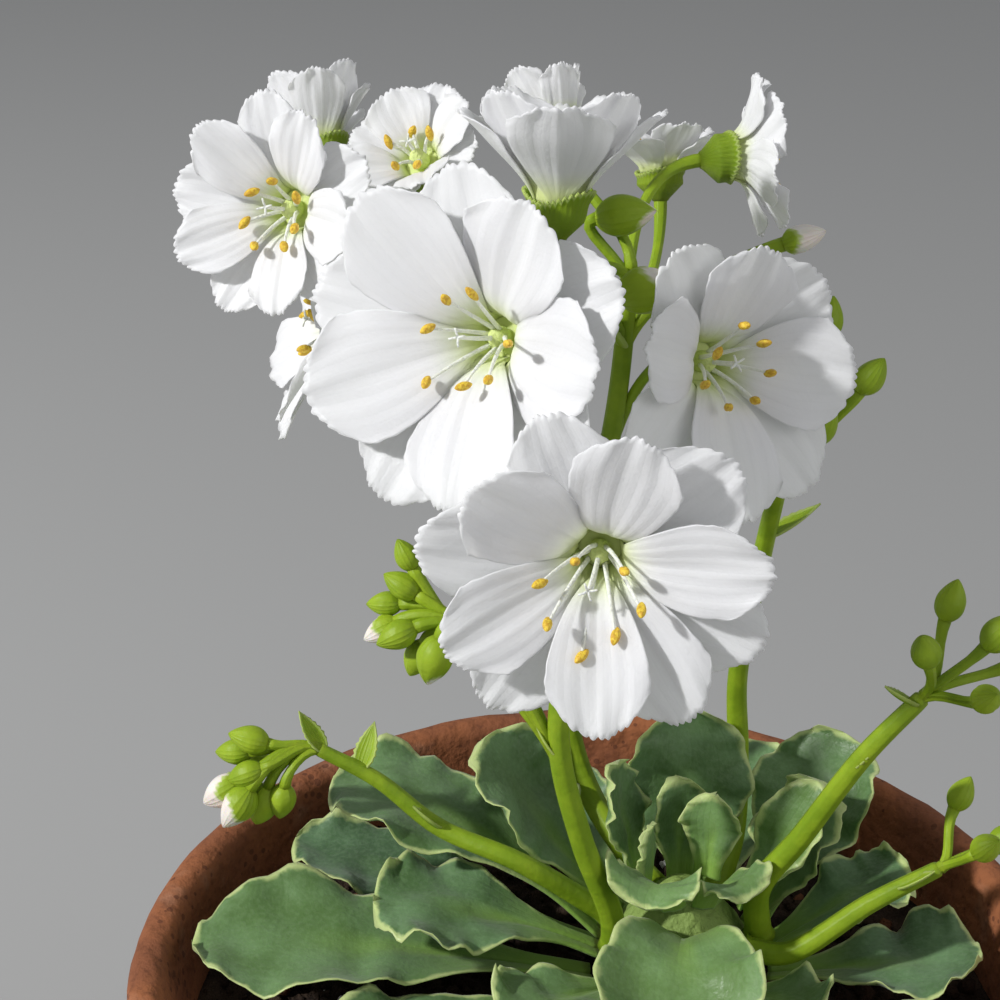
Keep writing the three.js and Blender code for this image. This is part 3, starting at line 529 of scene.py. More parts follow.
def tube_rings(path, radius, sides):
    """Rings round a path: path(t) + radius(t)·(first·cos a + second·sin a), both square to the path."""
    tangent = unit(np.gradient(path, axis=0))
    reference = np.eye(3)[np.argmin(np.abs(tangent).max(axis=0))]
    first = unit(np.cross(tangent, reference))
    second = np.cross(tangent, first)
    angle = round_angles(sides)[None, :, None]
    around = first[:, None] * np.cos(angle) + second[:, None] * np.sin(angle)
    return path[:, None] + radius[:, None, None] * around


def lathe_rings(profile, sides, foot, axis):
    """Rings of a turned shape: foot + axis·height + radius·(first·cos a + second·sin a). The profile gives
    a radius and a height for every ring, or for every point of every ring."""
    first = unit(np.cross(upright(axis), axis))
    second = np.cross(axis, first)
    angle = round_angles(sides)[None, :, None]
    if profile.ndim < 3:
        profile = profile[:, None]
    around = first * np.cos(angle) + second * np.sin(angle)
    return foot + axis * profile[..., 1:] + profile[..., :1] * around


def rounded(corners, reach):
    """A closed outline with each corner taken by a Bezier arc from reach before it to reach after it."""
    at = np.asarray(corners, float)
    reach = np.asarray(reach, float)[:, None]
    before = at + unit(np.roll(at, 1, axis=0) - at) * reach
    after = at + unit(np.roll(at, -1, axis=0) - at) * reach
    t = np.linspace(0, 1, CORNER_STEPS)[:, None, None]
    arcs = (1 - t) ** 2 * before + 2 * t * (1 - t) * at + t ** 2 * after
    return arcs.transpose(1, 0, 2).reshape(-1, 2)


def evened(outline, spacing):
    """A closed outline taken again at even distances of about spacing."""
    loop = np.vstack([outline, outline[:1]])
    run = np.concatenate([[0], np.cumsum(np.linalg.norm(np.diff(loop, axis=0), axis=1))])
    at = np.linspace(0, run[-1], round(run[-1] / spacing), endpoint=False)
    return np.stack([np.interp(at, run, loop[:, i]) for i in range(2)], -1)


# Shapes of the soil

def inside_radius(height):
    """The radius of the pot's inner wall at a height, straight from its floor to just under its rim."""
    low = BASE_RADIUS - WALL
    high = RIM_RADIUS - WALL
    return low + (high - low) * (height - FLOOR_THICKNESS) / (POT_HEIGHT - INNER_RIM - FLOOR_THICKNESS)


def soil_height(x, y, edge):
    """SOIL_TOP + SOIL_BUMP/1.5·(sin(.31x + 1.1)·cos(.27y − .4) + .5·sin(.52(x − y))), level at the
    wall."""
    inner = smooth((edge - np.hypot(x, y)) / 6)
    bump = np.sin(0.31 * x + 1.1) * np.cos(0.27 * y - 0.4) + 0.5 * np.sin(0.52 * (x - y))
    return SOIL_TOP + SOIL_BUMP / 1.5 * inner * bump


def add_crumbs(net, count, size, shape, edge, random, **marks):
    """Adds loose crumbs, half sunk in the soil at random places: rough ellipsoids, each point moved in or
    out by up to a quarter, and each crumb turned its own way."""
    rows, columns = CRUMB_RINGS, CRUMB_SIDES
    tilt = np.pi * (np.arange(rows) + 0.7) / (rows + 0.4)
    turn = round_angles(columns)
    ball = np.stack([
        np.sin(tilt)[:, None] * np.cos(turn), np.sin(tilt)[:, None] * np.sin(turn),
        np.broadcast_to(np.cos(tilt)[:, None], (rows, columns)),
    ], -1).reshape(-1, 3)
    ball = np.vstack([ball, (0, 0, 1), (0, 0, -1)])
    rough = 1 + random.uniform(-0.25, 0.25, (count, len(ball), 1))
    sizes = size * random.lognormal(0, 0.42, (count, 1, 1)).clip(0.35, 2.6) / 2
    axes = unit(random.normal(size=(count, 3)))
    angle = random.uniform(0, np.pi, (count, 1, 1))
    local = ball * rough * sizes * np.array(shape)
    axes = axes[:, None]
    turned = (
        local * np.cos(angle) + np.cross(np.broadcast_to(axes, local.shape), local) * np.sin(angle)
        + axes * (local * axes).sum(-1, keepdims=True) * (1 - np.cos(angle))
    )
    around = random.uniform(0, 2 * np.pi, count)
    reach = (edge - 1.2) * np.sqrt(random.uniform(0, 1, count))
    x = reach * np.cos(around)
    y = reach * np.sin(around)
    z = soil_height(x, y, edge) + sizes[:, 0, 0] * 0.25
    points = turned + np.stack([x, y, z], -1)[:, None]
    step = (np.arange(count) * len(ball))[:, None, None]
    quads = (ring_quads(rows, columns)[None] + step).reshape(-1, 4)
    fans = (pole_fans(rows, columns)[None] + step).reshape(-1, 3)
    net.add(points, quads, fans, **marks)


# Shapes of the plant

def on_crown(tier, turn, gap=0.0):
    """A point beside the crown: its middle + (radius + gap)·(cos turn, sin turn), at the tier's height."""
    reach = tier.radius + gap
    x = CROWN_X + reach * math.cos(turn * DEG)
    y = CROWN_Y + reach * math.sin(turn * DEG)
    return np.array([x, y, SOIL_TOP + tier.height])


def leaf_half_width(s, width, foot):
    """A narrow stalk that opens into a spoon: (width/2)·(k + (1 − k)·smooth((s − .12)/.6))·√(1 − q²), where
    k is foot/width and q runs from 0 at the widest part to 1 at the tip."""
    stalk = foot / width
    spoon = stalk + (1 - stalk) * smooth((s - 0.12) / (WIDEST - 0.12))
    q = np.clip((s - WIDEST) / (1 - WIDEST), 0, 1)
    return width / 2 * spoon * np.sqrt(1 - q ** 2)


def leaf_grid(leaf, index, settings):
    """Middle points, normals, thickness and marks of a leaf.
    The midrib is a quadratic Bezier from the crown to the tip, lifted by the arch. Point = midrib +
    side·half·v + normal·(half·sin(fold)·v² + wave·|v|³·sin(2π·waves·s + start) + crinkle·|v|³·fine waves
    − midrib groove), where v runs from −1 to 1 across and the fine waves follow the margin round the tip,
    with a faint random unevenness over it."""
    tip = np.array(leaf.tip, float)
    rise = unit(tip - on_crown(leaf.tier, leaf.turn))[2]
    gap = SEAT_GAP + SEAT_SLACK + LEAF_THICKNESS / 2 * (0.8 + 0.75 * rise)
    base = on_crown(leaf.tier, leaf.turn, gap)
    middle = (base + tip) / 2 + UP * 2 * leaf.arch
    length = np.linalg.norm(tip - base)
    body = np.linspace(0, WIDEST, LEAF_BODY_ROWS, endpoint=False)
    end = WIDEST + (1 - WIDEST) * np.sin(np.linspace(0, 0.49 * np.pi, LEAF_TIP_ROWS))
    s = np.concatenate([body, end])[:, None]
    u = np.linspace(-1, 1, LEAF_COLUMNS)[None, :]
    v = 0.65 * u + 0.35 * np.sin(np.pi / 2 * u)
    midrib = bezier((base, middle, tip), s[:, 0])
    along = unit(2 * (1 - s) * (middle - base) + 2 * s * (tip - middle))
    flat = -unit(np.cross(along, UP))
    turn = leaf.roll * DEG * s
    side = flat * np.cos(turn) + np.cross(along, flat) * np.sin(turn)
    normal = np.cross(along, side)
    half = leaf_half_width(s, leaf.width, leaf.foot)
    start = 2 * np.pi * (0.5 + draw(index + 0.5, 0.5))
    wave = np.sin(2 * np.pi * leaf.waves * s + start + 2 * (v > 0))
    q = np.clip((s - WIDEST) / (1 - WIDEST), 0, 1)
    arc = np.minimum(s, WIDEST) + 0.34 * np.arcsin(q) + 0.1 * np.sign(v)
    size = min(1.0, leaf.width / 16)
    fine = np.sin(2 * np.pi * 4.6 * arc + 5 * start) + 0.55 * np.sin(2 * np.pi * 8.3 * arc + 3 * start + v)
    open_part = smooth((s - 0.3) / 0.3)
    lift = (
        half * math.sin(leaf.fold * DEG) * v ** 2
        + leaf.wave * open_part * np.abs(v) ** 3 * wave
        + settings.crinkle / MM * size * open_part * np.abs(v) ** 3 * fine
        - 0.35 * size * bell(v, 0.16) * (1 - smooth((s - 0.35) / 0.5))
    )
    outline = 1 + 0.025 * open_part * v ** 2 * np.sin(2 * np.pi * 4.1 * arc + 2 * start)
    upwards = normal[:, None]
    points = moved(midrib[:, None], (side[:, None], half * v * outline), (upwards, lift))
    points = moved(points, (upwards, 0.22 * ripples(points, 8, 40 + index) * open_part))
    across = np.minimum(1, np.abs(v) * half / (leaf.width / 2))
    beyond = (np.sqrt(1 - across ** 2) - q) * (1 - WIDEST) * length
    beyond = np.where(s < 0.5, 50, np.maximum(beyond, 0))
    aside = half * (1 - np.abs(v))
    edge = aside * beyond / np.sqrt(aside ** 2 + beyond ** 2 + 1e-9)
    thickness = LEAF_THICKNESS * (0.94 - 0.3 * v ** 4) * np.sqrt(1 - v ** 10 * 0.93) * (1 - 0.35 * s)
    shade = 0.35 + 0.035 * leaf.tier.height + draw(index + 0.9, 0.3)
    marks = {"along": s, "across": v, "edge": edge, "shade": shade}
    return points, np.broadcast_to(upwards, points.shape), thickness, marks


def flower_frame(flower):
    """The top of a flower's receptacle, its axis, and two directions across it."""
    turn, up = flower.face
    axis = leaning(90 - up, turn)
    seat = np.array(flower.throat, float) - axis * (SEAT_GAP + HUB_HEIGHT)
    reference = upright(axis)
    first = unit(reference - axis * (reference @ axis))
    return seat, axis, first, np.cross(axis, first)


def outward(first, second, angle):
    """The direction first·cos + second·sin of an angle in degrees."""
    angle = np.asarray(angle, float)[..., None] * DEG
    return first * np.cos(angle) + second * np.sin(angle)


def petal_grid(flower, frame_of_flower, k, index, settings, rows, columns):
    """Middle points, normals, thickness and marks of a petal.
    Its line bends from the claw's angle to the open angle, then curls. Half = (width/2)·(root + (1 − root)·
    sin(π/2·(reach − .1)/.62))·(1 − .22·smooth((reach − .72)/.3)), and point = line(reach) + side·half·v
    + normal·(cup·half·v² + pleats − midrib groove + flutter), where reach = s·(1 − (.15·v² + .1·v⁶)·s²)
    + the margin's scallops."""
    seat, axis, first, second = frame_of_flower
    seed = 10 * index + k
    layer = 2 if flower.petals % 2 == 1 and k == flower.petals - 1 else k % 2
    angle = flower.first - 360 * k / flower.petals + draw(seed, 3)
    heavy_angle, longer, closed = flower.heavy
    towards = math.cos((angle - heavy_angle) * DEG)
    direction = outward(first, second, angle)
    side = np.cross(axis, direction)
    length = flower.length * (1 + draw(seed + 0.1, 0.05)) * (1 + longer * towards)
    width = flower.width * (1 + draw(seed + 0.2, 0.07))
    opened = (flower.open - LAYER_ANGLE * layer - closed * towards + draw(seed + 0.3, 0.7)) * DEG
    curl = (6 + draw(seed + 0.4, 6)) * DEG
    cup = 0.12 + draw(seed + 0.5, 0.03)
    claw = (CLAW_ANGLE - LAYER_ANGLE * layer) * DEG

    def bend(s):
        return claw + (opened - claw) * smooth(s / 0.45) + curl * np.clip((s - 0.55) / 0.45, 0, 1) ** 2

    start = seat + direction * HUB_RADIUS + axis * (SEAT_GAP + 0.5 + LAYER_RISE * layer)
    line = bent_line(start, axis, direction, length, bend)
    s = np.linspace(0, 1, rows)[:, None]
    v = np.linspace(-1, 1, columns)[None, :]
    phase = 6 * draw(seed + 0.6, 1)
    lobes = np.abs(np.sin(SCALLOPS * np.pi / 2 * v + phase + 1.2 * np.sin(4 * v + phase))) ** 0.8 - 0.6
    scallop = 0.006 * np.sin(4.5 * np.pi * v + phase) * s ** 6
    scallop = scallop + settings.scallop / MM / length * lobes * s ** 10
    reach = s * (1 - (0.15 * v ** 2 + 0.1 * v ** 6) * s ** 2) + scallop
    opening = np.sin(np.pi / 2 * np.clip((reach - CLAW_PART) / (WIDEST - CLAW_PART), 0, 1))
    root = 1.5 * 2 * math.pi * HUB_RADIUS / flower.petals / width
    half = width / 2 * (root + (1 - root) * opening) * (1 - 0.22 * smooth((reach - WIDEST) / 0.3))
    half = half * (1 + 0.012 * np.sin(34 * s + phase) * smooth((s - 0.5) / 0.3))
    angle_here = bend(reach)[..., None]
    normal = axis * np.sin(angle_here) - direction * np.cos(angle_here)
    free = smooth(reach / 0.35)
    lift = (
        cup * smooth(reach / 0.6) * half * v ** 2
        + settings.pleat / MM * free * np.cos(2 * np.pi * 3.4 * v + phase) * (1 - 0.4 * v ** 2)
        - 0.28 * free * bell(v, 0.26) * (1 - smooth((s - 0.6) / 0.4))
        + 0.3 * v ** 2 * np.sin(2 * np.pi * 1.2 * s + 2 * phase + v) * smooth((s - 0.35) / 0.4)
        + 0.22 * np.sin(2 * np.pi * 1.4 * v + 3 * phase) * s ** 4
    )
    points = moved(line(reach), (side, half * v), (normal, lift))
    thickness = PETAL_THICKNESS * (1 - 0.55 * v ** 4) * (1 - 0.45 * s ** 8)
    return points, normal, thickness, {"along": reach, "across": v}


def add_calyx(net, flower, index):
    """Adds the calyx under a flower: a receptacle that widens into a cup of two lobes. Round it at angle a,
    the lobe's reach is .58 + .42·cos²a, with a comb of fine teeth on its rim and a pleat for each tooth."""
    seat, axis, first, second = flower_frame(flower)
    turn = flower.first + 50 + draw(index + 0.7, 30)
    sides = 4 * SEPAL_TEETH
    angle = np.linspace(0, 360, sides, endpoint=False)
    direction = outward(first, second, turn + angle)
    tooth = np.abs((angle * SEPAL_TEETH / 360) % 1 - 0.5) * 2
    lobe = 0.58 + 0.42 * np.cos(angle * DEG) ** 2 - 0.12 * tooth ** 1.5
    length = SEPAL_LENGTH * min(1, flower.length / 12)

    def bend(s):
        opened = smooth(s * length / flower.length / 0.45)
        return (CLAW_ANGLE + 4 + (flower.open - CLAW_ANGLE) * opened) * DEG

    share = np.linspace(0, 1, 9)[:, None]
    s = share * lobe
    line = bent_line(np.array([2.1, -0.4]), np.array([0.0, 1.0]), np.array([1.0, 0.0]), length, bend)(s)
    b = bend(s)
    pleat = 0.11 * (tooth - 0.5) * smooth((s - 0.05) / 0.2)
    wall = 0.75 - 0.45 * smooth(share / 0.8) + pleat
    outwards = np.stack([np.cos(b), -np.sin(b)], -1)
    outer = line + outwards * wall[..., None]
    inner = (line + outwards * pleat[..., None])[::-1]
    neck, floor = (
        np.broadcast_to(np.array(part)[:, None], (len(part), sides, 2)) for part in (CALYX_NECK, CALYX_FLOOR)
    )
    profile = np.concatenate([neck, outer, inner, floor])
    rings = seat + axis * profile[..., 1:] + direction * profile[..., :1]
    inside = (lobe - s) * length
    before, after = (np.full(part.shape[:2], FAR_FROM_EDGE) for part in (neck, floor))
    edge = np.concatenate([before, inside, inside[::-1], after])
    add_rings(net, rings, across=tooth, edge=edge, shade=0.35 + draw(index + 0.2, 0.2))
    return seat - axis * RECEPTACLE_LENGTH, axis


def stem_shape(stem):
    """A stem's line as a function of t: a curve from its foot on the crown's slope through its points."""
    slope = (MIDDLE.radius - UPPER.radius) / (UPPER.height - MIDDLE.height)
    off = unit(np.array([math.cos(stem.turn * DEG), math.sin(stem.turn * DEG), slope]))
    touch = on_crown(SCAPES, stem.turn)
    leaving = unit(np.array(stem.through[0], float) - touch)
    foot = touch + off * (SEAT_GAP + SEAT_SLACK + stem.radius * math.sqrt(1 - (leaving @ off) ** 2))
    points = np.vstack([foot, np.array(stem.through, float)])
    return lambda t: through_points(points, t)


def add_stem_tube(net, path, radius, sides, shade):
    """Adds a green tube round a path."""
    across = np.linspace(-1, 1, sides)
    add_rings(net, tube_rings(path, radius, sides), across=across, edge=FAR_FROM_EDGE, shade=shade)


def add_stalk(net, line, share, foot, axis, seed):
    """Adds a thin stalk: a cubic Bezier that leaves the stem along its run and comes up into what it
    carries."""
    root = line(share)
    tangent = unit(line(min(1, share + 1e-4)) - line(max(0, share - 1e-4)))
    length = np.linalg.norm(foot - root)
    controls = (root, root + tangent * length * 0.35, foot - axis * length * 0.35, foot + axis * 0.5)
    t = np.linspace(0, 1, max(8, int(length)))
    path = bezier(controls, t)
    radius = STALK_RADIUS * (1 + 0.4 * (1 - smooth(t / 0.15)) + 0.35 * smooth((t - 0.75) / 0.25))
    shade = 0.6 + draw(seed, 0.2)
    add_stem_tube(net, path, radius, STALK_SIDES, shade)


def add_bud(net, bud, seed):
    """Adds a bud: radius = .33·length·sin(π·t^.8)^.75, wrapped by two green sepals whose slanting tops show
    the white petals' tip, which is a little narrower."""
    axis = leaning(bud.lean, bud.turn)
    foot = np.array([bud.x, bud.y, bud.z], float)
    t = (1 - np.cos(np.linspace(0.05, 1, BUD_RINGS) * np.pi)) / 2
    angle = round_angles(BUD_SIDES)
    top = bud.green + 0.14 * np.cos(2 * angle + 6 * seed) + 0.02 * np.sin(15 * angle)
    green = 1 - smooth((t[:, None] - top) / 0.05)
    seam = np.abs(np.sin(angle + 3 * seed + 0.5 * t[:, None]))
    radius = 0.33 * np.sin(np.pi * t ** 0.8) ** 0.75
    radius = radius[:, None] * (0.9 + 0.1 * green) * (1 - 0.05 * bell(seam, 0.12))
    radius = radius * (1 + 0.025 * np.cos(5 * angle + seed) * (1 - green))
    height = np.broadcast_to(t[:, None], radius.shape)
    rings = lathe_rings(np.stack([radius, height], -1) * bud.length, BUD_SIDES, foot, axis)
    edge = np.maximum(0, top - t[:, None]) * bud.length
    shade = 0.75 + draw(seed + 0.4, 0.25)
    add_rings(net, rings, across=np.sin(angle), edge=edge, pale=1 - green, shade=shade)
    return foot, axis


def add_bract(net, line, share, turn, length, seed):
    """Adds a small leaf on a stem: half = .7·(1 − s³) + sin(π·s^.8)·(1 − .3·s), hollowed along
    its middle."""
    axis = leaning(55 + draw(seed, 12), turn)
    side = unit(np.cross(axis, UP))
    normal = np.cross(side, axis)
    s = np.linspace(0, 1, 16)[:, None]
    v = np.linspace(-1, 1, 13)[None, :]
    tooth = 0.08 * np.sin(44 * s + 3 * seed) * np.abs(v) ** 6
    half = (0.7 * (1 - s ** 3) + np.sin(np.pi * s ** 0.8) * (1 - 0.3 * s)) * (1 + tooth)
    lift = 0.35 * half * v ** 2 + 1.2 * s ** 2
    points = moved(line(share), (axis, length * s), (side, half * v), (normal, lift))
    normals = np.broadcast_to(normal, points.shape)
    thickness = 0.55 * (1 - 0.6 * v ** 6) * (1 - 0.5 * s)
    edge = np.minimum(half * (1 - np.abs(v)), (1 - s) * length)
    add_blade(net, points, normals, thickness, across=v, edge=edge, shade=0.5)


def add_stamen(net, root, way, out, length, droop, seed):
    """Adds a thread, root + way·length·t + (out·.8 − up·droop)·t², and an anther across its end: a
    turned shape of radius ANTHER_RADIUS·sin(πt)^.6 with a groove along each side."""
    t = np.linspace(0, 1, 14)
    path = moved(root, (way, length * t), (0.8 * out - UP * droop, t ** 2))
    add_rings(net, tube_rings(path, FILAMENT_RADIUS * (1.25 - 0.6 * t), 9))
    end = path[-1]
    lean = unit(way + 0.9 * draw(seed + 0.5, 1) * np.cross(way, out) + 0.5 * draw(seed + 0.7, 1) * out)
    u = (1 - np.cos(np.linspace(0.06, 0.94, 12) * np.pi)) / 2
    angle = round_angles(ANTHER_SIDES)
    groove = 1 - 0.22 * bell(np.cos(angle), 0.35)
    radius = ANTHER_RADIUS * (np.sin(np.pi * u) ** 0.6)[:, None] * groove
    height = np.broadcast_to((ANTHER_LENGTH * (u - 0.5))[:, None], radius.shape)
    add_rings(net, lathe_rings(np.stack([radius, height], -1), ANTHER_SIDES, end, lean), pale=1)


def add_style(net, place, axis, out, first, second, reach, droop):
    """Adds the style: a thread that parts at its end into four short recurved branches."""
    t = np.linspace(0, 1, 16)
    length = reach * 0.82
    path = moved(place, (axis, length * t), (0.8 * out - UP * droop * 0.7, t ** 2))
    add_rings(net, tube_rings(path, STYLE_RADIUS * (1.2 - 0.4 * t), 10))
    tip = path[-1]
    run = np.linspace(0, 1, 8)[:, None]
    for angle in STYLE_BRANCHES:
        aside = outward(first, second, angle)
        branch = tip - axis * 0.3 + axis * run - axis * 0.5 * run ** 2 + aside * run ** 1.6
        add_rings(net, tube_rings(branch, 0.16 - 0.05 * run[:, 0], 8))


# Finishes

def rgba(colour):
    """A colour with its alpha, or a socket as it is."""
    return colour if isinstance(colour, bpy.types.NodeSocket) else (*colour[:3], 1)


def flesh(weight, radius, depth):
    """The inputs that let light sink a little into living tissue."""
    return {"Subsurface Weight": weight, "Subsurface Radius": radius, "Subsurface Scale": depth}


class Nodes:
    """Adds nodes to the tree of a material or of a shared effect."""

    def __init__(self, tree):
        self.tree = tree

    def put(self, socket, value):
        """Sets an input to a value, or links it to a socket."""
        if isinstance(value, bpy.types.NodeSocket):
            self.tree.links.new(value, socket)
        else:
            socket.default_value = value

    def add(self, kind, values=(), **settings):
        """Adds a node with its settings; values maps input names or numbers to values or to sockets."""
        node = self.tree.nodes.new(kind)
        for name, value in settings.items():
            setattr(node, name, value)
        for name, value in dict(values).items():
            self.put(node.inputs[name], value)
        return node

    def calc(self, operation, *values):
        """The result of a Math node."""
        return self.add("ShaderNodeMath", dict(enumerate(values)), operation=operation).outputs[0]

    def times(self, first, second):
        """The product of two values."""
        return self.calc("MULTIPLY", first, second)

    def band(self, value, low, high):
        """0 where value is below low and 1 above high, smooth between; low may lie above high."""
        values = {"Value": value, "From Min": low, "From Max": high}
        return self.add("ShaderNodeMapRange", values, interpolation_type="SMOOTHSTEP").outputs[0]

    def mark(self, name):
        """A mark that a mesh carries."""
        return self.add("ShaderNodeAttribute", attribute_name=name).outputs["Fac"]

    def texture(self, kind, **values):
        """A texture over the object's own space."""
        place = self.add("ShaderNodeTexCoord").outputs["Object"]
        return self.add(f"ShaderNodeTex{kind}", {"Vector": place, **values}).outputs


class Effect(Nodes):
    """A node group with number inputs and one mask, which the finishes share."""

    def __init__(self, name, **inputs):
        super().__init__(bpy.data.node_groups.new(name, "ShaderNodeTree"))
        for label, value in inputs.items():
            self.socket(label, "INPUT").default_value = value
        self.socket("Mask", "OUTPUT")
        self.given = self.tree.nodes.new("NodeGroupInput")
        self.made = self.tree.nodes.new("NodeGroupOutput")

    def socket(self, label, way):
        """A number that goes into the group or comes out of it."""
        return self.tree.interface.new_socket(name=label, in_out=way, socket_type="NodeSocketFloat")

    def inlet(self, label):
        """A number as it comes into the group."""
        return self.given.outputs[label]

    def end(self, mask):
        """Gives out the mask, and the group."""
        self.put(self.made.inputs["Mask"], mask)
        return self.tree


def mottle_group():
    """Soft patches of noise, as a mask from 0 to 1."""
    group = Effect("Mottle", Scale=100, Low=0.4, High=0.6, Detail=4)
    noise = group.texture("Noise", Scale=group.inlet("Scale"), Detail=group.inlet("Detail"))[0]
    return group.end(group.band(noise, group.inlet("Low"), group.inlet("High")))


def streak_group():
    """Fine lines along a blade: (.5 + .5·cos(2π·count·across + waver·noise))^sharpness."""
    group = Effect("Streaks", Count=8, Waver=1, Sharpness=4, Scale=300)
    noise = group.texture("Noise", Scale=group.inlet("Scale"))[0]
    turn = group.times(group.times(group.mark("across"), group.inlet("Count")), 2 * math.pi)
    wave = group.calc("COSINE", group.calc("ADD", turn, group.times(noise, group.inlet("Waver"))))
    wave = group.calc("MULTIPLY_ADD", wave, 0.5, 0.5)
    return group.end(group.calc("POWER", wave, group.inlet("Sharpness")))


def pores_group():
    """Small pits: dark spots from cells of a Voronoi pattern, thinned out by noise."""
    group = Effect("Pores", Scale=900, Size=0.3)
    cells = group.texture("Voronoi", Scale=group.inlet("Scale"))
    thin = group.band(group.texture("Noise", Scale=160)[0], 0.45, 0.65)
    return group.end(group.calc("LESS_THAN", cells["Distance"], group.times(thin, group.inlet("Size"))))


GROUPS = {"Mottle": mottle_group, "Streaks": streak_group, "Pores": pores_group}


class Paint(Nodes):
    """The nodes of a material. Its colour is laid on in layers, each over the ones before it."""

    def __init__(self, tree):
        super().__init__(tree)
        self.colour = None

    def effect(self, name, **values):
        """The mask of a shared effect, with its values for this finish."""
        group = bpy.data.node_groups.get(name) or GROUPS[name]()
        node = self.tree.nodes.new("ShaderNodeGroup")
        node.node_tree = group
        for label, value in values.items():
            node.inputs[label.capitalize()].default_value = value
        return node.outputs["Mask"]

    def mottle(self, scale, low, high, detail):
        """The mask of soft patches: 0 where the noise is below low and 1 above high."""
        return self.effect("Mottle", scale=scale, low=low, high=high, detail=detail)

    def blend(self, factor, first, second):
        """The colour of a Mix node: first where factor is 0 and second where it is 1."""
        values = {0: factor, 6: rgba(first), 7: rgba(second)}
        return self.add("ShaderNodeMix", values, data_type="RGBA").outputs[2]

    def layer(self, colour, mask, share=1):
        """Lays a colour over the ones before it, by the factor mask·share."""
        if share != 1:
            mask = self.times(mask, share)
        self.colour = self.blend(mask, self.colour, colour)

    def shine(self, looks):
        """Sets inputs of the Principled shader by their names."""
        for name, value in looks.items():
            self.put(self.tree.nodes["Principled BSDF"].inputs[name], value)

    def end(self, height, depth, looks):
        """Sets up the shader with the colour, a relief of height·depth in metres, and the other looks."""
        bump = self.add("ShaderNodeBump", {"Height": height, "Distance": depth, "Strength": 1})
        self.shine({"Base Color": self.colour, "Normal": bump.outputs[0], **looks})


def painted(name, finish, settings):
    """A material whose nodes are set up by finish(paint, settings), made once."""
    material = bpy.data.materials.get(name)
    if not material:
        material = bpy.data.materials.new(name)
        material.use_nodes = True
        finish(Paint(material.node_tree), settings)
    return material


def terracotta(paint, settings):
    """Unglazed fired clay: an orange-brown body, darker damp patches, pale mineral bloom, grit and pits."""
    patches = paint.mottle(55, 0.42, 0.62, 6)
    pits = paint.effect("Pores", scale=620, size=0.34)
    paint.colour = settings.clay
    paint.layer(settings.damp, patches, 0.6)
    paint.layer(settings.bloom, paint.mottle(130, 0.56, 0.74, 8), settings.bloom_share)
    paint.layer(settings.grit, paint.mottle(900, 0.5, 0.72, 3), 0.45)
    paint.layer(settings.grit, pits, 0.7)
    height = paint.calc("SUBTRACT", paint.mottle(420, 0.2, 0.8, 8), paint.times(pits, 1.4))
    rough = paint.calc("MULTIPLY_ADD", patches, -0.12, 0.92)
    paint.end(height, 0.00032, {"Roughness": rough, "Specular IOR Level": 0.3})


def compost(paint, settings):
    """Dark crumbly compost; the pale mark turns a crumb into white perlite, and its shade into bark."""
    paint.colour = settings.peat
    paint.layer(settings.dry, paint.mottle(240, 0.35, 0.7, 8))
    paint.layer(settings.bark, paint.band(paint.mark("shade"), 0.82, 0.9))
    paint.layer(settings.perlite, paint.band(paint.mark("pale"), 0.4, 0.6))
    paint.end(paint.mottle(1400, 0.2, 0.8, 6), 0.0004, {"Roughness": 0.95, "Specular IOR Level": 0.2})


def crown_skin(paint, settings):
    """The crown's skin: olive green above, brown and corky with old scars below."""
    paint.colour = settings.crown
    paint.layer(settings.cork, paint.mottle(180, 0.35, 0.65, 6))
    paint.layer(settings.young, paint.band(paint.mark("along"), 0.45, 0.8))
    paint.end(paint.mottle(700, 0.2, 0.8, 6), 0.0004, {"Roughness": 0.7})


def leaf_skin(paint, settings):
    """A waxy leaf: blue-green with a pale bloom, yellow-green towards its foot and along its midrib, paler
    beneath, and with a thin pale line all round its margin."""
    along = paint.mark("along")
    patches = paint.mottle(140, 0.36, 0.66, 6)
    fine = paint.mottle(1500, 0.35, 0.7, 3)
    paint.colour = settings.deep
    paint.layer(settings.bloom, patches)
    paint.layer(settings.pale, fine, 0.16)
    paint.layer(settings.fresh, paint.mark("shade"), 0.36)
    paint.layer(settings.under, paint.calc("SUBTRACT", 1, paint.mark("face")), 0.45)
    middle = paint.band(paint.calc("ABSOLUTE", paint.mark("across")), 0.34, 0.02)
    rib = paint.times(paint.times(middle, paint.band(along, 0.85, 0.3)), 0.7)
    paint.layer(settings.fresh, paint.calc("MAXIMUM", rib, paint.band(along, 0.5, 0.1)))
    veins = paint.effect("Streaks", count=5, waver=5, sharpness=9, scale=120)
    paint.layer(settings.deep, veins, 0.025)
    uneven = paint.mottle(420, 0.3, 0.7, 3)
    width = paint.calc("MULTIPLY_ADD", uneven, 0.45, settings.margin_width / MM)
    rim = paint.band(paint.calc("DIVIDE", paint.mark("edge"), width), 1.6, 0.4)
    paint.layer(settings.margin, paint.times(rim, paint.band(along, 0.12, 0.4)))
    height = paint.calc("ADD", paint.times(fine, 0.22), paint.mottle(330, 0.2, 0.8, 4))
    paint.end(paint.calc("SUBTRACT", height, paint.times(veins, 0.15)), 0.0001, {
        "Roughness": paint.calc("MULTIPLY_ADD", patches, 0.16, 0.4),
        "Specular IOR Level": 0.4,
        "Sheen Weight": 0.12,
        "Sheen Roughness": 0.45,
        **flesh(0.12, (0.5, 1.0, 0.25), 0.0016),
    })


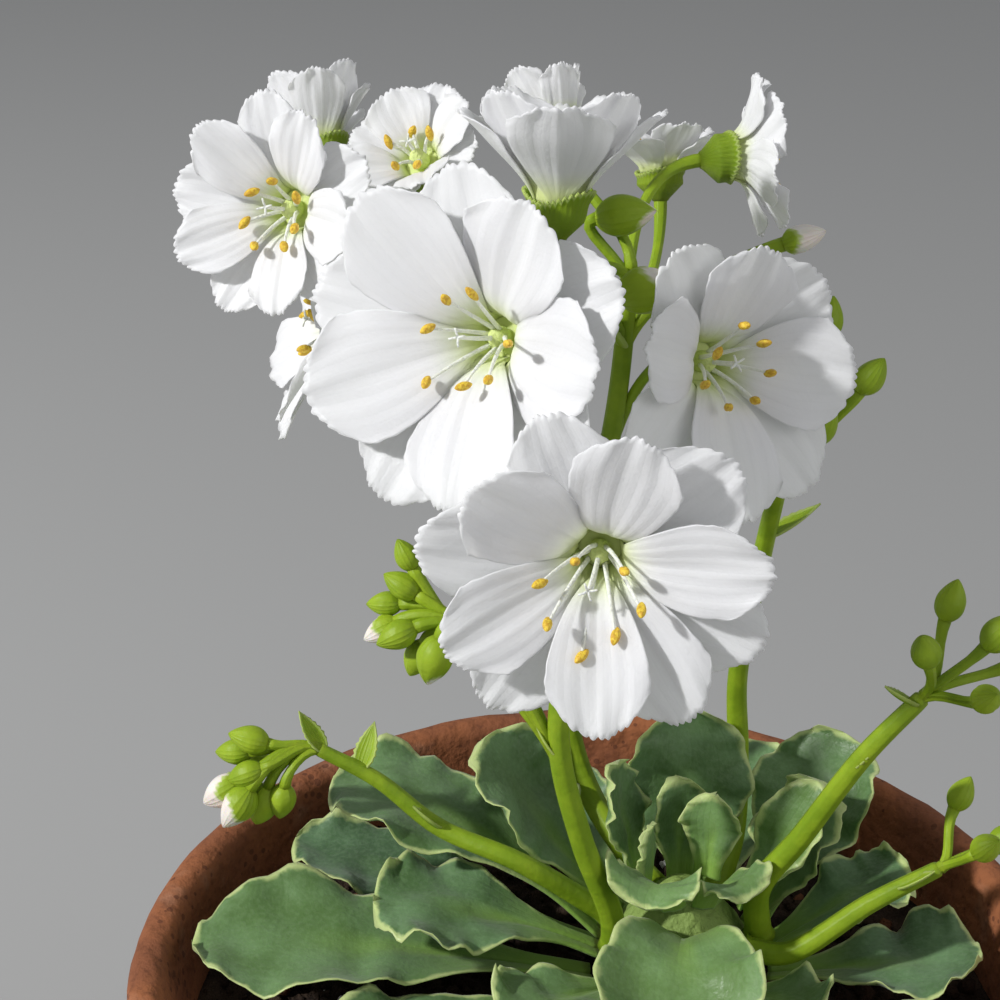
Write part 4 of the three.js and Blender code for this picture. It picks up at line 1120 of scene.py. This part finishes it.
def stem_skin(paint, settings):
    """Smooth yellow-green stems, calyxes and buds, with faint lengthwise lines, and white tips where pale."""
    patches = paint.mottle(260, 0.35, 0.68, 5)
    lines = paint.effect("Streaks", count=3, waver=3, sharpness=2, scale=90)
    paint.colour = settings.deep
    paint.layer(settings.fresh, paint.calc("MULTIPLY_ADD", patches, 0.24, 0.26))
    paint.layer(settings.deep, lines, 0.1)
    paint.layer(settings.fresh, paint.mark("shade"), 0.45)
    paint.layer(settings.margin, paint.band(paint.mark("edge"), 0.55, 0.15), 0.55)
    blush = paint.times(paint.mottle(320, 0.35, 0.75, 2), 0.5)
    paint.layer(paint.blend(blush, settings.tip, settings.blush), paint.mark("pale"))
    paint.end(paint.calc("ADD", lines, paint.mottle(900, 0.3, 0.7, 3)), 0.00004, {
        "Roughness": 0.48,
        "Specular IOR Level": 0.25,
        **flesh(0.16, (0.6, 1.0, 0.15), 0.0018),
    })


def petal_skin(paint, settings):
    """White petals, a little translucent, with fine veins along them and a yellow-green throat whose colour
    is brightened as painted light.
    """
    veins = paint.effect("Streaks", count=6.5, waver=3, sharpness=7, scale=160)
    cells = paint.mottle(2200, 0.3, 0.7, 2)
    paint.colour = settings.white
    paint.layer(settings.vein, veins, 0.06)
    # The throat colour is partly the real yellow-green and partly painted light: brightened to cancel the
    # shade deep in the throat and on the hub.
    paint.layer(settings.throat, paint.calc("POWER", paint.band(paint.mark("along"), 0.42, 0.04), 1.3))
    height = paint.calc("ADD", paint.times(cells, 0.3), paint.times(veins, -0.2))
    paint.end(height, 0.00004, {
        "Roughness": 0.5,
        "Specular IOR Level": 0.3,
        "Sheen Weight": 0.15,
        **flesh(0.5, (1.0, 1.0, 0.95), 0.0018),
    })


def heart_skin(paint, settings):
    """The middle of a flower: white threads, yellow anthers where pale is 1, and a green ovary where the
    shade mark is 1, whose green is brightened as painted light."""
    grains = paint.mottle(2600, 0.35, 0.65, 2)
    paint.colour = settings.thread
    # The ovary colour is partly the real green and partly painted light: brightened to cancel the shade deep
    # in the throat.
    paint.layer(settings.ovary, paint.mark("shade"))
    dust = paint.blend(grains, settings.pollen, settings.pollen_dark)
    paint.layer(dust, paint.band(paint.mark("pale"), 0.3, 0.7))
    paint.end(grains, 0.00008, {"Roughness": 0.55, **flesh(0.15, (1.0, 0.9, 0.5), 0.0008)})


def plain_floor(paint, settings):
    """One even matte colour."""
    paint.shine({"Base Color": rgba(settings.floor), "Roughness": 0.85})


# Settings

def colour_property(label, words, value):
    """A colour that a user may change."""
    return FloatVectorProperty(
        name=label, description=words, subtype="COLOR", size=3, min=0, max=1, default=value,
    )


def length_property(label, words, value, most):
    """A length in metres that a user may change."""
    return FloatProperty(
        name=label, description=words, unit="LENGTH", min=0, max=most, precision=5, default=value,
    )


class PotSettings(PropertyGroup):
    """Looks of the terracotta pot."""

    clay: colour_property("Clay", "Colour of the dry clay", (0.320, 0.114, 0.046))
    damp: colour_property("Damp clay", "Colour of the darker patches", (0.185, 0.064, 0.031))
    bloom: colour_property("Bloom", "Colour of the mineral bloom", (0.46, 0.27, 0.18))
    grit: colour_property("Grit", "Colour of grit and pits", (0.12, 0.04, 0.02))
    bloom_share: FloatProperty(name="Bloom share", description="Strength of the mineral bloom", default=0.4,
                               min=0, max=1, subtype="FACTOR")
    relief: length_property("Relief", "Height of the clay's unevenness", 0.00016, 0.001)
    sides: IntProperty(name="Sides", description="Points round the pot", default=144, min=32, max=256)


class SoilSettings(PropertyGroup):
    """Looks of the compost."""

    peat: colour_property("Peat", "Colour of the damp compost", (0.020, 0.013, 0.009))
    dry: colour_property("Dry compost", "Colour of dry crumbs", (0.060, 0.038, 0.024))
    bark: colour_property("Bark", "Colour of bark chips", (0.150, 0.065, 0.030))
    perlite: colour_property("Perlite", "Colour of perlite grains", (0.78, 0.77, 0.74))
    crumbs: IntProperty(name="Crumbs", description="Number of loose crumbs", default=1500, min=0, max=3000)
    crumb_size: length_property("Crumb size", "Usual size of a crumb", 0.0013, 0.004)


class LeafSettings(PropertyGroup):
    """Looks of the crown and the leaves."""

    deep: colour_property("Deep green", "Leaf where the bloom is rubbed", (0.052, 0.115, 0.050))
    bloom: colour_property("Bloom", "Leaf under its waxy bloom", (0.118, 0.218, 0.112))
    pale: colour_property("Pale bloom", "Thickest bloom", (0.30, 0.44, 0.27))
    fresh: colour_property("Fresh green", "Leaf foot and midrib", (0.240, 0.400, 0.070))
    under: colour_property("Underside", "Leaf underside", (0.190, 0.300, 0.110))
    margin: colour_property("Margin", "Pale line round a leaf", (0.50, 0.60, 0.24))
    margin_width: length_property("Margin width", "Width of the pale line", 0.0003, 0.002)
    crinkle: length_property("Crinkle", "Height of the small waves on the margin", 0.0006, 0.002)
    crown: colour_property("Crown", "Skin of the crown", (0.150, 0.160, 0.060))
    cork: colour_property("Cork", "Old corky skin of the crown", (0.130, 0.080, 0.045))
    young: colour_property("Young crown", "Top of the crown", (0.240, 0.340, 0.080))


class StemSettings(PropertyGroup):
    """Looks of the stems, calyxes and buds."""

    deep: colour_property("Deep green", "Shaded green of stems", (0.075, 0.175, 0.003))
    fresh: colour_property("Fresh green", "Yellow-green of stems and buds", (0.450, 0.590, 0.034))
    margin: colour_property("Teeth", "Pale rim and teeth of a calyx", (0.52, 0.62, 0.22))
    tip: colour_property("Bud tip", "White of an opening bud", (0.84, 0.80, 0.74))
    blush: colour_property("Blush", "Faint pink of a bud's tip", (0.78, 0.60, 0.52))


class PetalSettings(PropertyGroup):
    """Looks of the petals."""

    white: colour_property("White", "Petal white", (0.88, 0.88, 0.89))
    vein: colour_property("Veins", "Fine veins in a petal", (0.70, 0.71, 0.72))
    # The throat's yellow-green is brightened as painted light that cancels the shade deep in the throat.
    throat: colour_property("Throat", "Yellow-green throat", (0.74, 0.84, 0.32))
    scallop: length_property("Scallops", "Depth of the small lobes in the margin", 0.0004, 0.001)
    pleat: length_property("Pleats", "Height of the lengthwise pleats", 0.00003, 0.0005)


class HeartSettings(PropertyGroup):
    """Looks of the stamens, styles and ovaries."""

    thread: colour_property("Threads", "White filaments and style", (0.84, 0.86, 0.78))
    pollen: colour_property("Pollen", "Yellow anthers", (0.84, 0.60, 0.05))
    pollen_dark: colour_property("Dark pollen", "Deeper yellow of anthers", (0.66, 0.38, 0.03))
    # The ovary's green is brightened as painted light that cancels the shade in the throat.
    ovary: colour_property("Ovary", "Green ovary in the throat", (0.70, 0.80, 0.30))


class StageSettings(PropertyGroup):
    """Floor and studio light."""

    floor: colour_property("Floor", "Plain pale floor", (0.42, 0.42, 0.415))
    key_power: FloatProperty(
        name="Key light", description="Power of the key light", default=16.5, min=0, max=200, unit="POWER",
    )
    fill_power: FloatProperty(
        name="Fill light", description="Power of the fill light", default=2.2, min=0, max=200, unit="POWER",
    )
    sky: FloatProperty(name="Sky", description="Strength of the even light", default=0.32, min=0, max=5)


# Operators

def aimed_light(name, place, target, width, power):
    """An area light at a place, turned to look at a target."""
    data = bpy.data.lights.new(name, "AREA")
    data.shape = "DISK"
    data.size = width
    data.energy = power
    light = placed(name, data)
    light.location = place
    light.rotation_euler = (Vector(target) - Vector(place)).to_track_quat("-Z", "Y").to_euler()


class LEWISIA_OT_pot(Operator):
    """Throw the terracotta pot with its rolled rim band and drain hole"""

    bl_idname = "lewisia.pot"
    bl_label = "Terracotta Pot"

    def execute(self, context):
        settings = context.scene.lewisia_pot
        band_foot = POT_HEIGHT - RIM_BAND_HEIGHT
        band_radius = RIM_RADIUS - RIM_TAPER
        inside = RIM_RADIUS - WALL
        corners = (
            (DRAIN_RADIUS, 0), (BASE_RADIUS, 0), (band_radius - RIM_BAND_STEP, band_foot),
            (band_radius, band_foot + 0.6), (RIM_RADIUS + 0.05, POT_HEIGHT), (inside, POT_HEIGHT),
            (BASE_RADIUS - WALL, FLOOR_THICKNESS), (DRAIN_RADIUS, FLOOR_THICKNESS),
        )
        outline = evened(rounded(corners, CORNER_REACHES), RING_SPACING)
        rings = lathe_rings(outline, settings.sides, np.zeros(3), UP)
        uneven = ripples(rings, 16, 3) + 0.6 * ripples(rings, 5, 4)
        depth = settings.relief / MM * np.clip(1 + 0.5 * uneven, 0, 2)
        raised = smooth((outline[:, 1] - 1) / 2)[:, None]
        away = unit(np.roll(rings, -1, axis=0) - np.roll(rings, 1, axis=0))
        around = unit(np.roll(rings, -1, axis=1) - np.roll(rings, 1, axis=1))
        inward = np.cross(away, around)
        middle = rings.mean(axis=(0, 1))
        if np.einsum("ijk,ijk->", inward, rings - middle) > 0:
            inward = -inward
        rings = rings + inward * (depth * raised)[..., None]
        net = Net()
        net.add(rings, ring_quads(len(outline), settings.sides, joined=True))
        net.build("clay_pot", "pot", painted("Terracotta", terracotta, settings))
        return {"FINISHED"}


class LEWISIA_OT_soil(Operator):
    """Fill the pot with crumbly compost, perlite and a few chips of bark"""

    bl_idname = "lewisia.soil"
    bl_label = "Compost"

    def execute(self, context):
        settings = context.scene.lewisia_soil
        random = np.random.default_rng(11)
        net = Net()
        low = FLOOR_THICKNESS + SEAT_GAP
        edge = inside_radius(SOIL_TOP) - SEAT_GAP - SEAT_SLACK
        top = np.linspace(edge, SOIL_MIDDLE, SOIL_RINGS)
        radius = np.concatenate([[SOIL_MIDDLE, inside_radius(low) - SEAT_GAP - SEAT_SLACK], top])
        height = np.concatenate([[low, low], np.full(len(top), SOIL_TOP)])
        rings = lathe_rings(np.stack([radius, height], -1), SOIL_SIDES, np.zeros(3), UP)
        x, y = rings[..., 0], rings[..., 1]
        crumbly = 0.35 * ripples(rings, 3.2, 21) * smooth((edge - np.hypot(x, y)) / 2)
        lifted = soil_height(x, y, edge) + crumbly
        rings[2:, :, 2] = lifted[2:]
        add_rings(net, rings, shade=0.3)
        size = settings.crumb_size / MM
        add_crumbs(net, settings.crumbs, size, CRUMB_SHAPE, edge, random, shade=0.3)
        add_crumbs(net, settings.crumbs // 12, size * 1.5, BARK_SHAPE, edge, random, shade=1)
        add_crumbs(net, settings.crumbs // 22, size * 1.25, PERLITE_SHAPE, edge, random, pale=1)
        net.build("compost", "soil", painted("Compost", compost, settings))
        return {"FINISHED"}


class LEWISIA_OT_crown(Operator):
    """Grow the crown, the short thick stem in the middle of the rosette, with its tap root"""

    bl_idname = "lewisia.crown"
    bl_label = "Crown"

    def execute(self, context):
        settings = context.scene.lewisia_leaf
        bottom = SOIL_TOP - ROOT_DEPTH
        outline = np.array([
            (0.6, bottom), (2.2, bottom + 0.6), (7, SOIL_TOP - 8), (10.2, SOIL_TOP - 1),
            *((tier.radius, SOIL_TOP + tier.height) for tier in (LOW, MIDDLE, SCAPES, UPPER, HEART)),
            (1.4, SOIL_TOP + HEART.height + 1.6), (0.4, SOIL_TOP + HEART.height + 1.8),
        ])
        t = np.linspace(0, 1, CROWN_RINGS)
        flat = np.concatenate([outline, np.zeros((len(outline), 1))], axis=1)
        profile = through_points(flat, t)[:, :2]
        angle = round_angles(CROWN_SIDES)[None, :]
        scars = 0.22 * np.abs(np.sin(4.5 * angle + 12 * t[:, None])) * smooth((profile[:, :1] - 3) / 4)
        shape = np.stack([profile[:, :1] - scars, np.broadcast_to(profile[:, 1:], scars.shape)], -1)
        net = Net()
        rings = lathe_rings(shape, CROWN_SIDES, np.array([CROWN_X, CROWN_Y, 0.0]), UP)
        add_rings(net, rings, along=smooth((profile[:, 1] - SOIL_TOP) / 16)[:, None])
        net.build("root_crown", "crown", painted("Crown Skin", crown_skin, settings))
        return {"FINISHED"}


class LEWISIA_OT_leaves(Operator):
    """Grow the rosette of fleshy spoon-shaped leaves with crinkled pale margins"""

    bl_idname = "lewisia.leaves"
    bl_label = "Leaves"

    def execute(self, context):
        settings = context.scene.lewisia_leaf
        for index, leaf in enumerate(LEAVES):
            points, normals, thickness, marks = leaf_grid(leaf, index, settings)
            net = Net()
            add_blade(net, points, normals, thickness, **marks)
            name = f"leaf_{index + 1:02d}"
            net.build(f"spoon_{name}", name, painted("Waxy Leaf", leaf_skin, settings))
        return {"FINISHED"}


class LEWISIA_OT_stems(Operator):
    """Grow the flower stems with their stalks, calyxes, buds and bracts"""

    bl_idname = "lewisia.stems"
    bl_label = "Flower Stems"

    def execute(self, context):
        settings = context.scene.lewisia_stem
        for index, stem in enumerate(STEMS):
            net = Net()
            line = stem_shape(stem)
            t = even_shares(line, STEM_RINGS)
            radius = stem.radius * (1.05 - 0.42 * t) * (1 + 0.25 * (1 - smooth(t / 0.03)))
            radius *= np.sqrt(np.clip((1.004 - t) / 0.02, 0.04, 1))
            add_stem_tube(net, line(t), radius, STEM_SIDES, 0.3)
            for number, share in stem.flowers:
                foot, axis = add_calyx(net, FLOWERS[number], number)
                add_stalk(net, line, share, foot, axis, number)
            for number, bud in enumerate(stem.buds):
                foot, axis = add_bud(net, bud, index + 0.13 * number)
                add_stalk(net, line, bud.share, foot, axis, index + 0.1 * number)
            for number, (share, turn, length) in enumerate(stem.bracts):
                add_bract(net, line, share, turn, length, index + 0.1 * number)
            skin = painted("Green Stem", stem_skin, settings)
            net.build(f"flower_stem_{index + 1}", f"scape_{index + 1}", skin)
        return {"FINISHED"}


class LEWISIA_OT_petals(Operator):
    """Open the white flowers, each with overlapping layers of broad scalloped petals"""

    bl_idname = "lewisia.petals"
    bl_label = "Petals"

    def execute(self, context):
        settings = context.scene.lewisia_petal
        for index, flower in enumerate(FLOWERS):
            net = Net()
            shape = flower_frame(flower)
            grid = LARGE_PETAL_GRID if index < LARGE_FLOWERS else SMALL_PETAL_GRID
            for k in range(flower.petals):
                points, normals, thickness, marks = petal_grid(flower, shape, k, index, settings, *grid)
                add_blade(net, points, normals, thickness, **marks)
            seat, axis = shape[:2]
            # The hub takes the throat colour, with its painted light.
            add_rings(net, lathe_rings(np.array(HUB_PROFILE), HUB_SIDES, seat, axis), along=0.06)
            name = f"corolla_{index + 1:02d}"
            net.build(f"white_{name}", name, painted("White Petal", petal_skin, settings))
        return {"FINISHED"}


class LEWISIA_OT_hearts(Operator):
    """Set the ovary, the branched style and the stamens with their yellow anthers in each flower"""

    bl_idname = "lewisia.hearts"
    bl_label = "Stamens and Styles"

    def execute(self, context):
        settings = context.scene.lewisia_heart
        for index, flower in enumerate(FLOWERS):
            net = Net()
            seat, axis, first, second = flower_frame(flower)
            place = seat + axis * (2 * SEAT_GAP + HUB_HEIGHT)
            t = np.linspace(0, 1, 12)
            ovary = np.stack([1.15 * np.cos(np.pi / 2 * t ** 1.6) + 0.05, 2.4 * t - 0.6], -1)
            add_rings(net, lathe_rings(ovary, 24, place, axis), shade=1)
            reach = flower.length * 0.45
            for k in range(flower.stamens):
                seed = 200 + 10 * index + k
                angle = flower.first + 20 + 360 * k / flower.stamens + draw(seed, 10)
                spread = 12 + 0.16 * flower.open + draw(seed + 0.3, 6)
                length = reach * (1 + draw(seed + 0.6, 0.12))
                out = outward(first, second, angle)
                root = place + out + axis * 0.4
                way = axis * math.cos(spread * DEG) + out * math.sin(spread * DEG)
                add_stamen(net, root, way, out, length - 0.5 * ANTHER_LENGTH, flower.droop, seed)
            add_style(net, place, axis, outward(first, second, 40), first, second, reach, flower.droop)
            name = f"{index + 1:02d}"
            skin = painted("Flower Heart", heart_skin, settings)
            net.build(f"flower_heart_{name}", f"stamens_{name}", skin)
        return {"FINISHED"}


class LEWISIA_OT_stage(Operator):
    """Set the plain pale floor, the soft studio light and the camera"""

    bl_idname = "lewisia.stage"
    bl_label = "Stage"

    def execute(self, context):
        settings = context.scene.lewisia_stage
        scene = context.scene
        mesh = bpy.data.meshes.new("floor")
        corners = [(x * FLOOR_REACH, y * FLOOR_REACH, 0) for x, y in ((-1, -1), (1, -1), (1, 1), (-1, 1))]
        mesh.from_pydata(corners, [], [(0, 1, 2, 3)])
        mesh.materials.append(painted("Floor", plain_floor, settings))
        placed("floor", mesh)
        world = bpy.data.worlds.new("Studio")
        world.use_nodes = True
        background = world.node_tree.nodes["Background"]
        background.inputs["Color"].default_value = SKY_COLOUR
        background.inputs["Strength"].default_value = settings.sky
        scene.world = world
        scene.view_settings.view_transform = "Standard"
        aimed_light("key", KEY_PLACE, LIGHT_TARGET, KEY_WIDTH, settings.key_power)
        aimed_light("fill", FILL_PLACE, LIGHT_TARGET, FILL_WIDTH, settings.fill_power)
        data = bpy.data.cameras.new("camera")
        data.lens = CAMERA_LENS
        data.sensor_width = CAMERA_SENSOR
        data.clip_start = 0.01
        camera = placed("camera", data)
        camera.location = Vector(CAMERA_PLACE) * MM
        camera.rotation_euler = ((90 + CAMERA_PITCH) * DEG, 0, CAMERA_YAW * DEG)
        scene.camera = camera
        return {"FINISHED"}


PARTS = (
    LEWISIA_OT_stage,
    LEWISIA_OT_pot,
    LEWISIA_OT_soil,
    LEWISIA_OT_crown,
    LEWISIA_OT_leaves,
    LEWISIA_OT_stems,
    LEWISIA_OT_petals,
    LEWISIA_OT_hearts,
)
SETTINGS = {
    "lewisia_pot": PotSettings,
    "lewisia_soil": SoilSettings,
    "lewisia_leaf": LeafSettings,
    "lewisia_stem": StemSettings,
    "lewisia_petal": PetalSettings,
    "lewisia_heart": HeartSettings,
    "lewisia_stage": StageSettings,
}


class LEWISIA_PT_panel(Panel):
    """Lists the pieces of the potted lewisia and their settings"""

    bl_idname = "LEWISIA_PT_panel"
    bl_label = "Potted Lewisia"
    bl_space_type = "VIEW_3D"
    bl_region_type = "UI"
    bl_category = "Lewisia"

    def draw(self, context):
        layout = self.layout
        for part in PARTS:
            layout.operator(part.bl_idname)
        for name, group in SETTINGS.items():
            box = layout.box()
            box.label(text=group.__doc__)
            for label in group.__annotations__:
                box.prop(getattr(context.scene, name), label)


def register():
    for group in (*SETTINGS.values(), *PARTS, LEWISIA_PT_panel):
        bpy.utils.register_class(group)
    for name, group in SETTINGS.items():
        setattr(bpy.types.Scene, name, PointerProperty(type=group))


def unregister():
    for name in SETTINGS:
        delattr(bpy.types.Scene, name)
    for group in (LEWISIA_PT_panel, *reversed(PARTS), *reversed(tuple(SETTINGS.values()))):
        bpy.utils.unregister_class(group)


def main():
    """Makes every piece in order."""
    register()
    for part in PARTS:
        section, name = part.bl_idname.split(".")
        getattr(getattr(bpy.ops, section), name)()


if __name__ == "__main__":
    main()
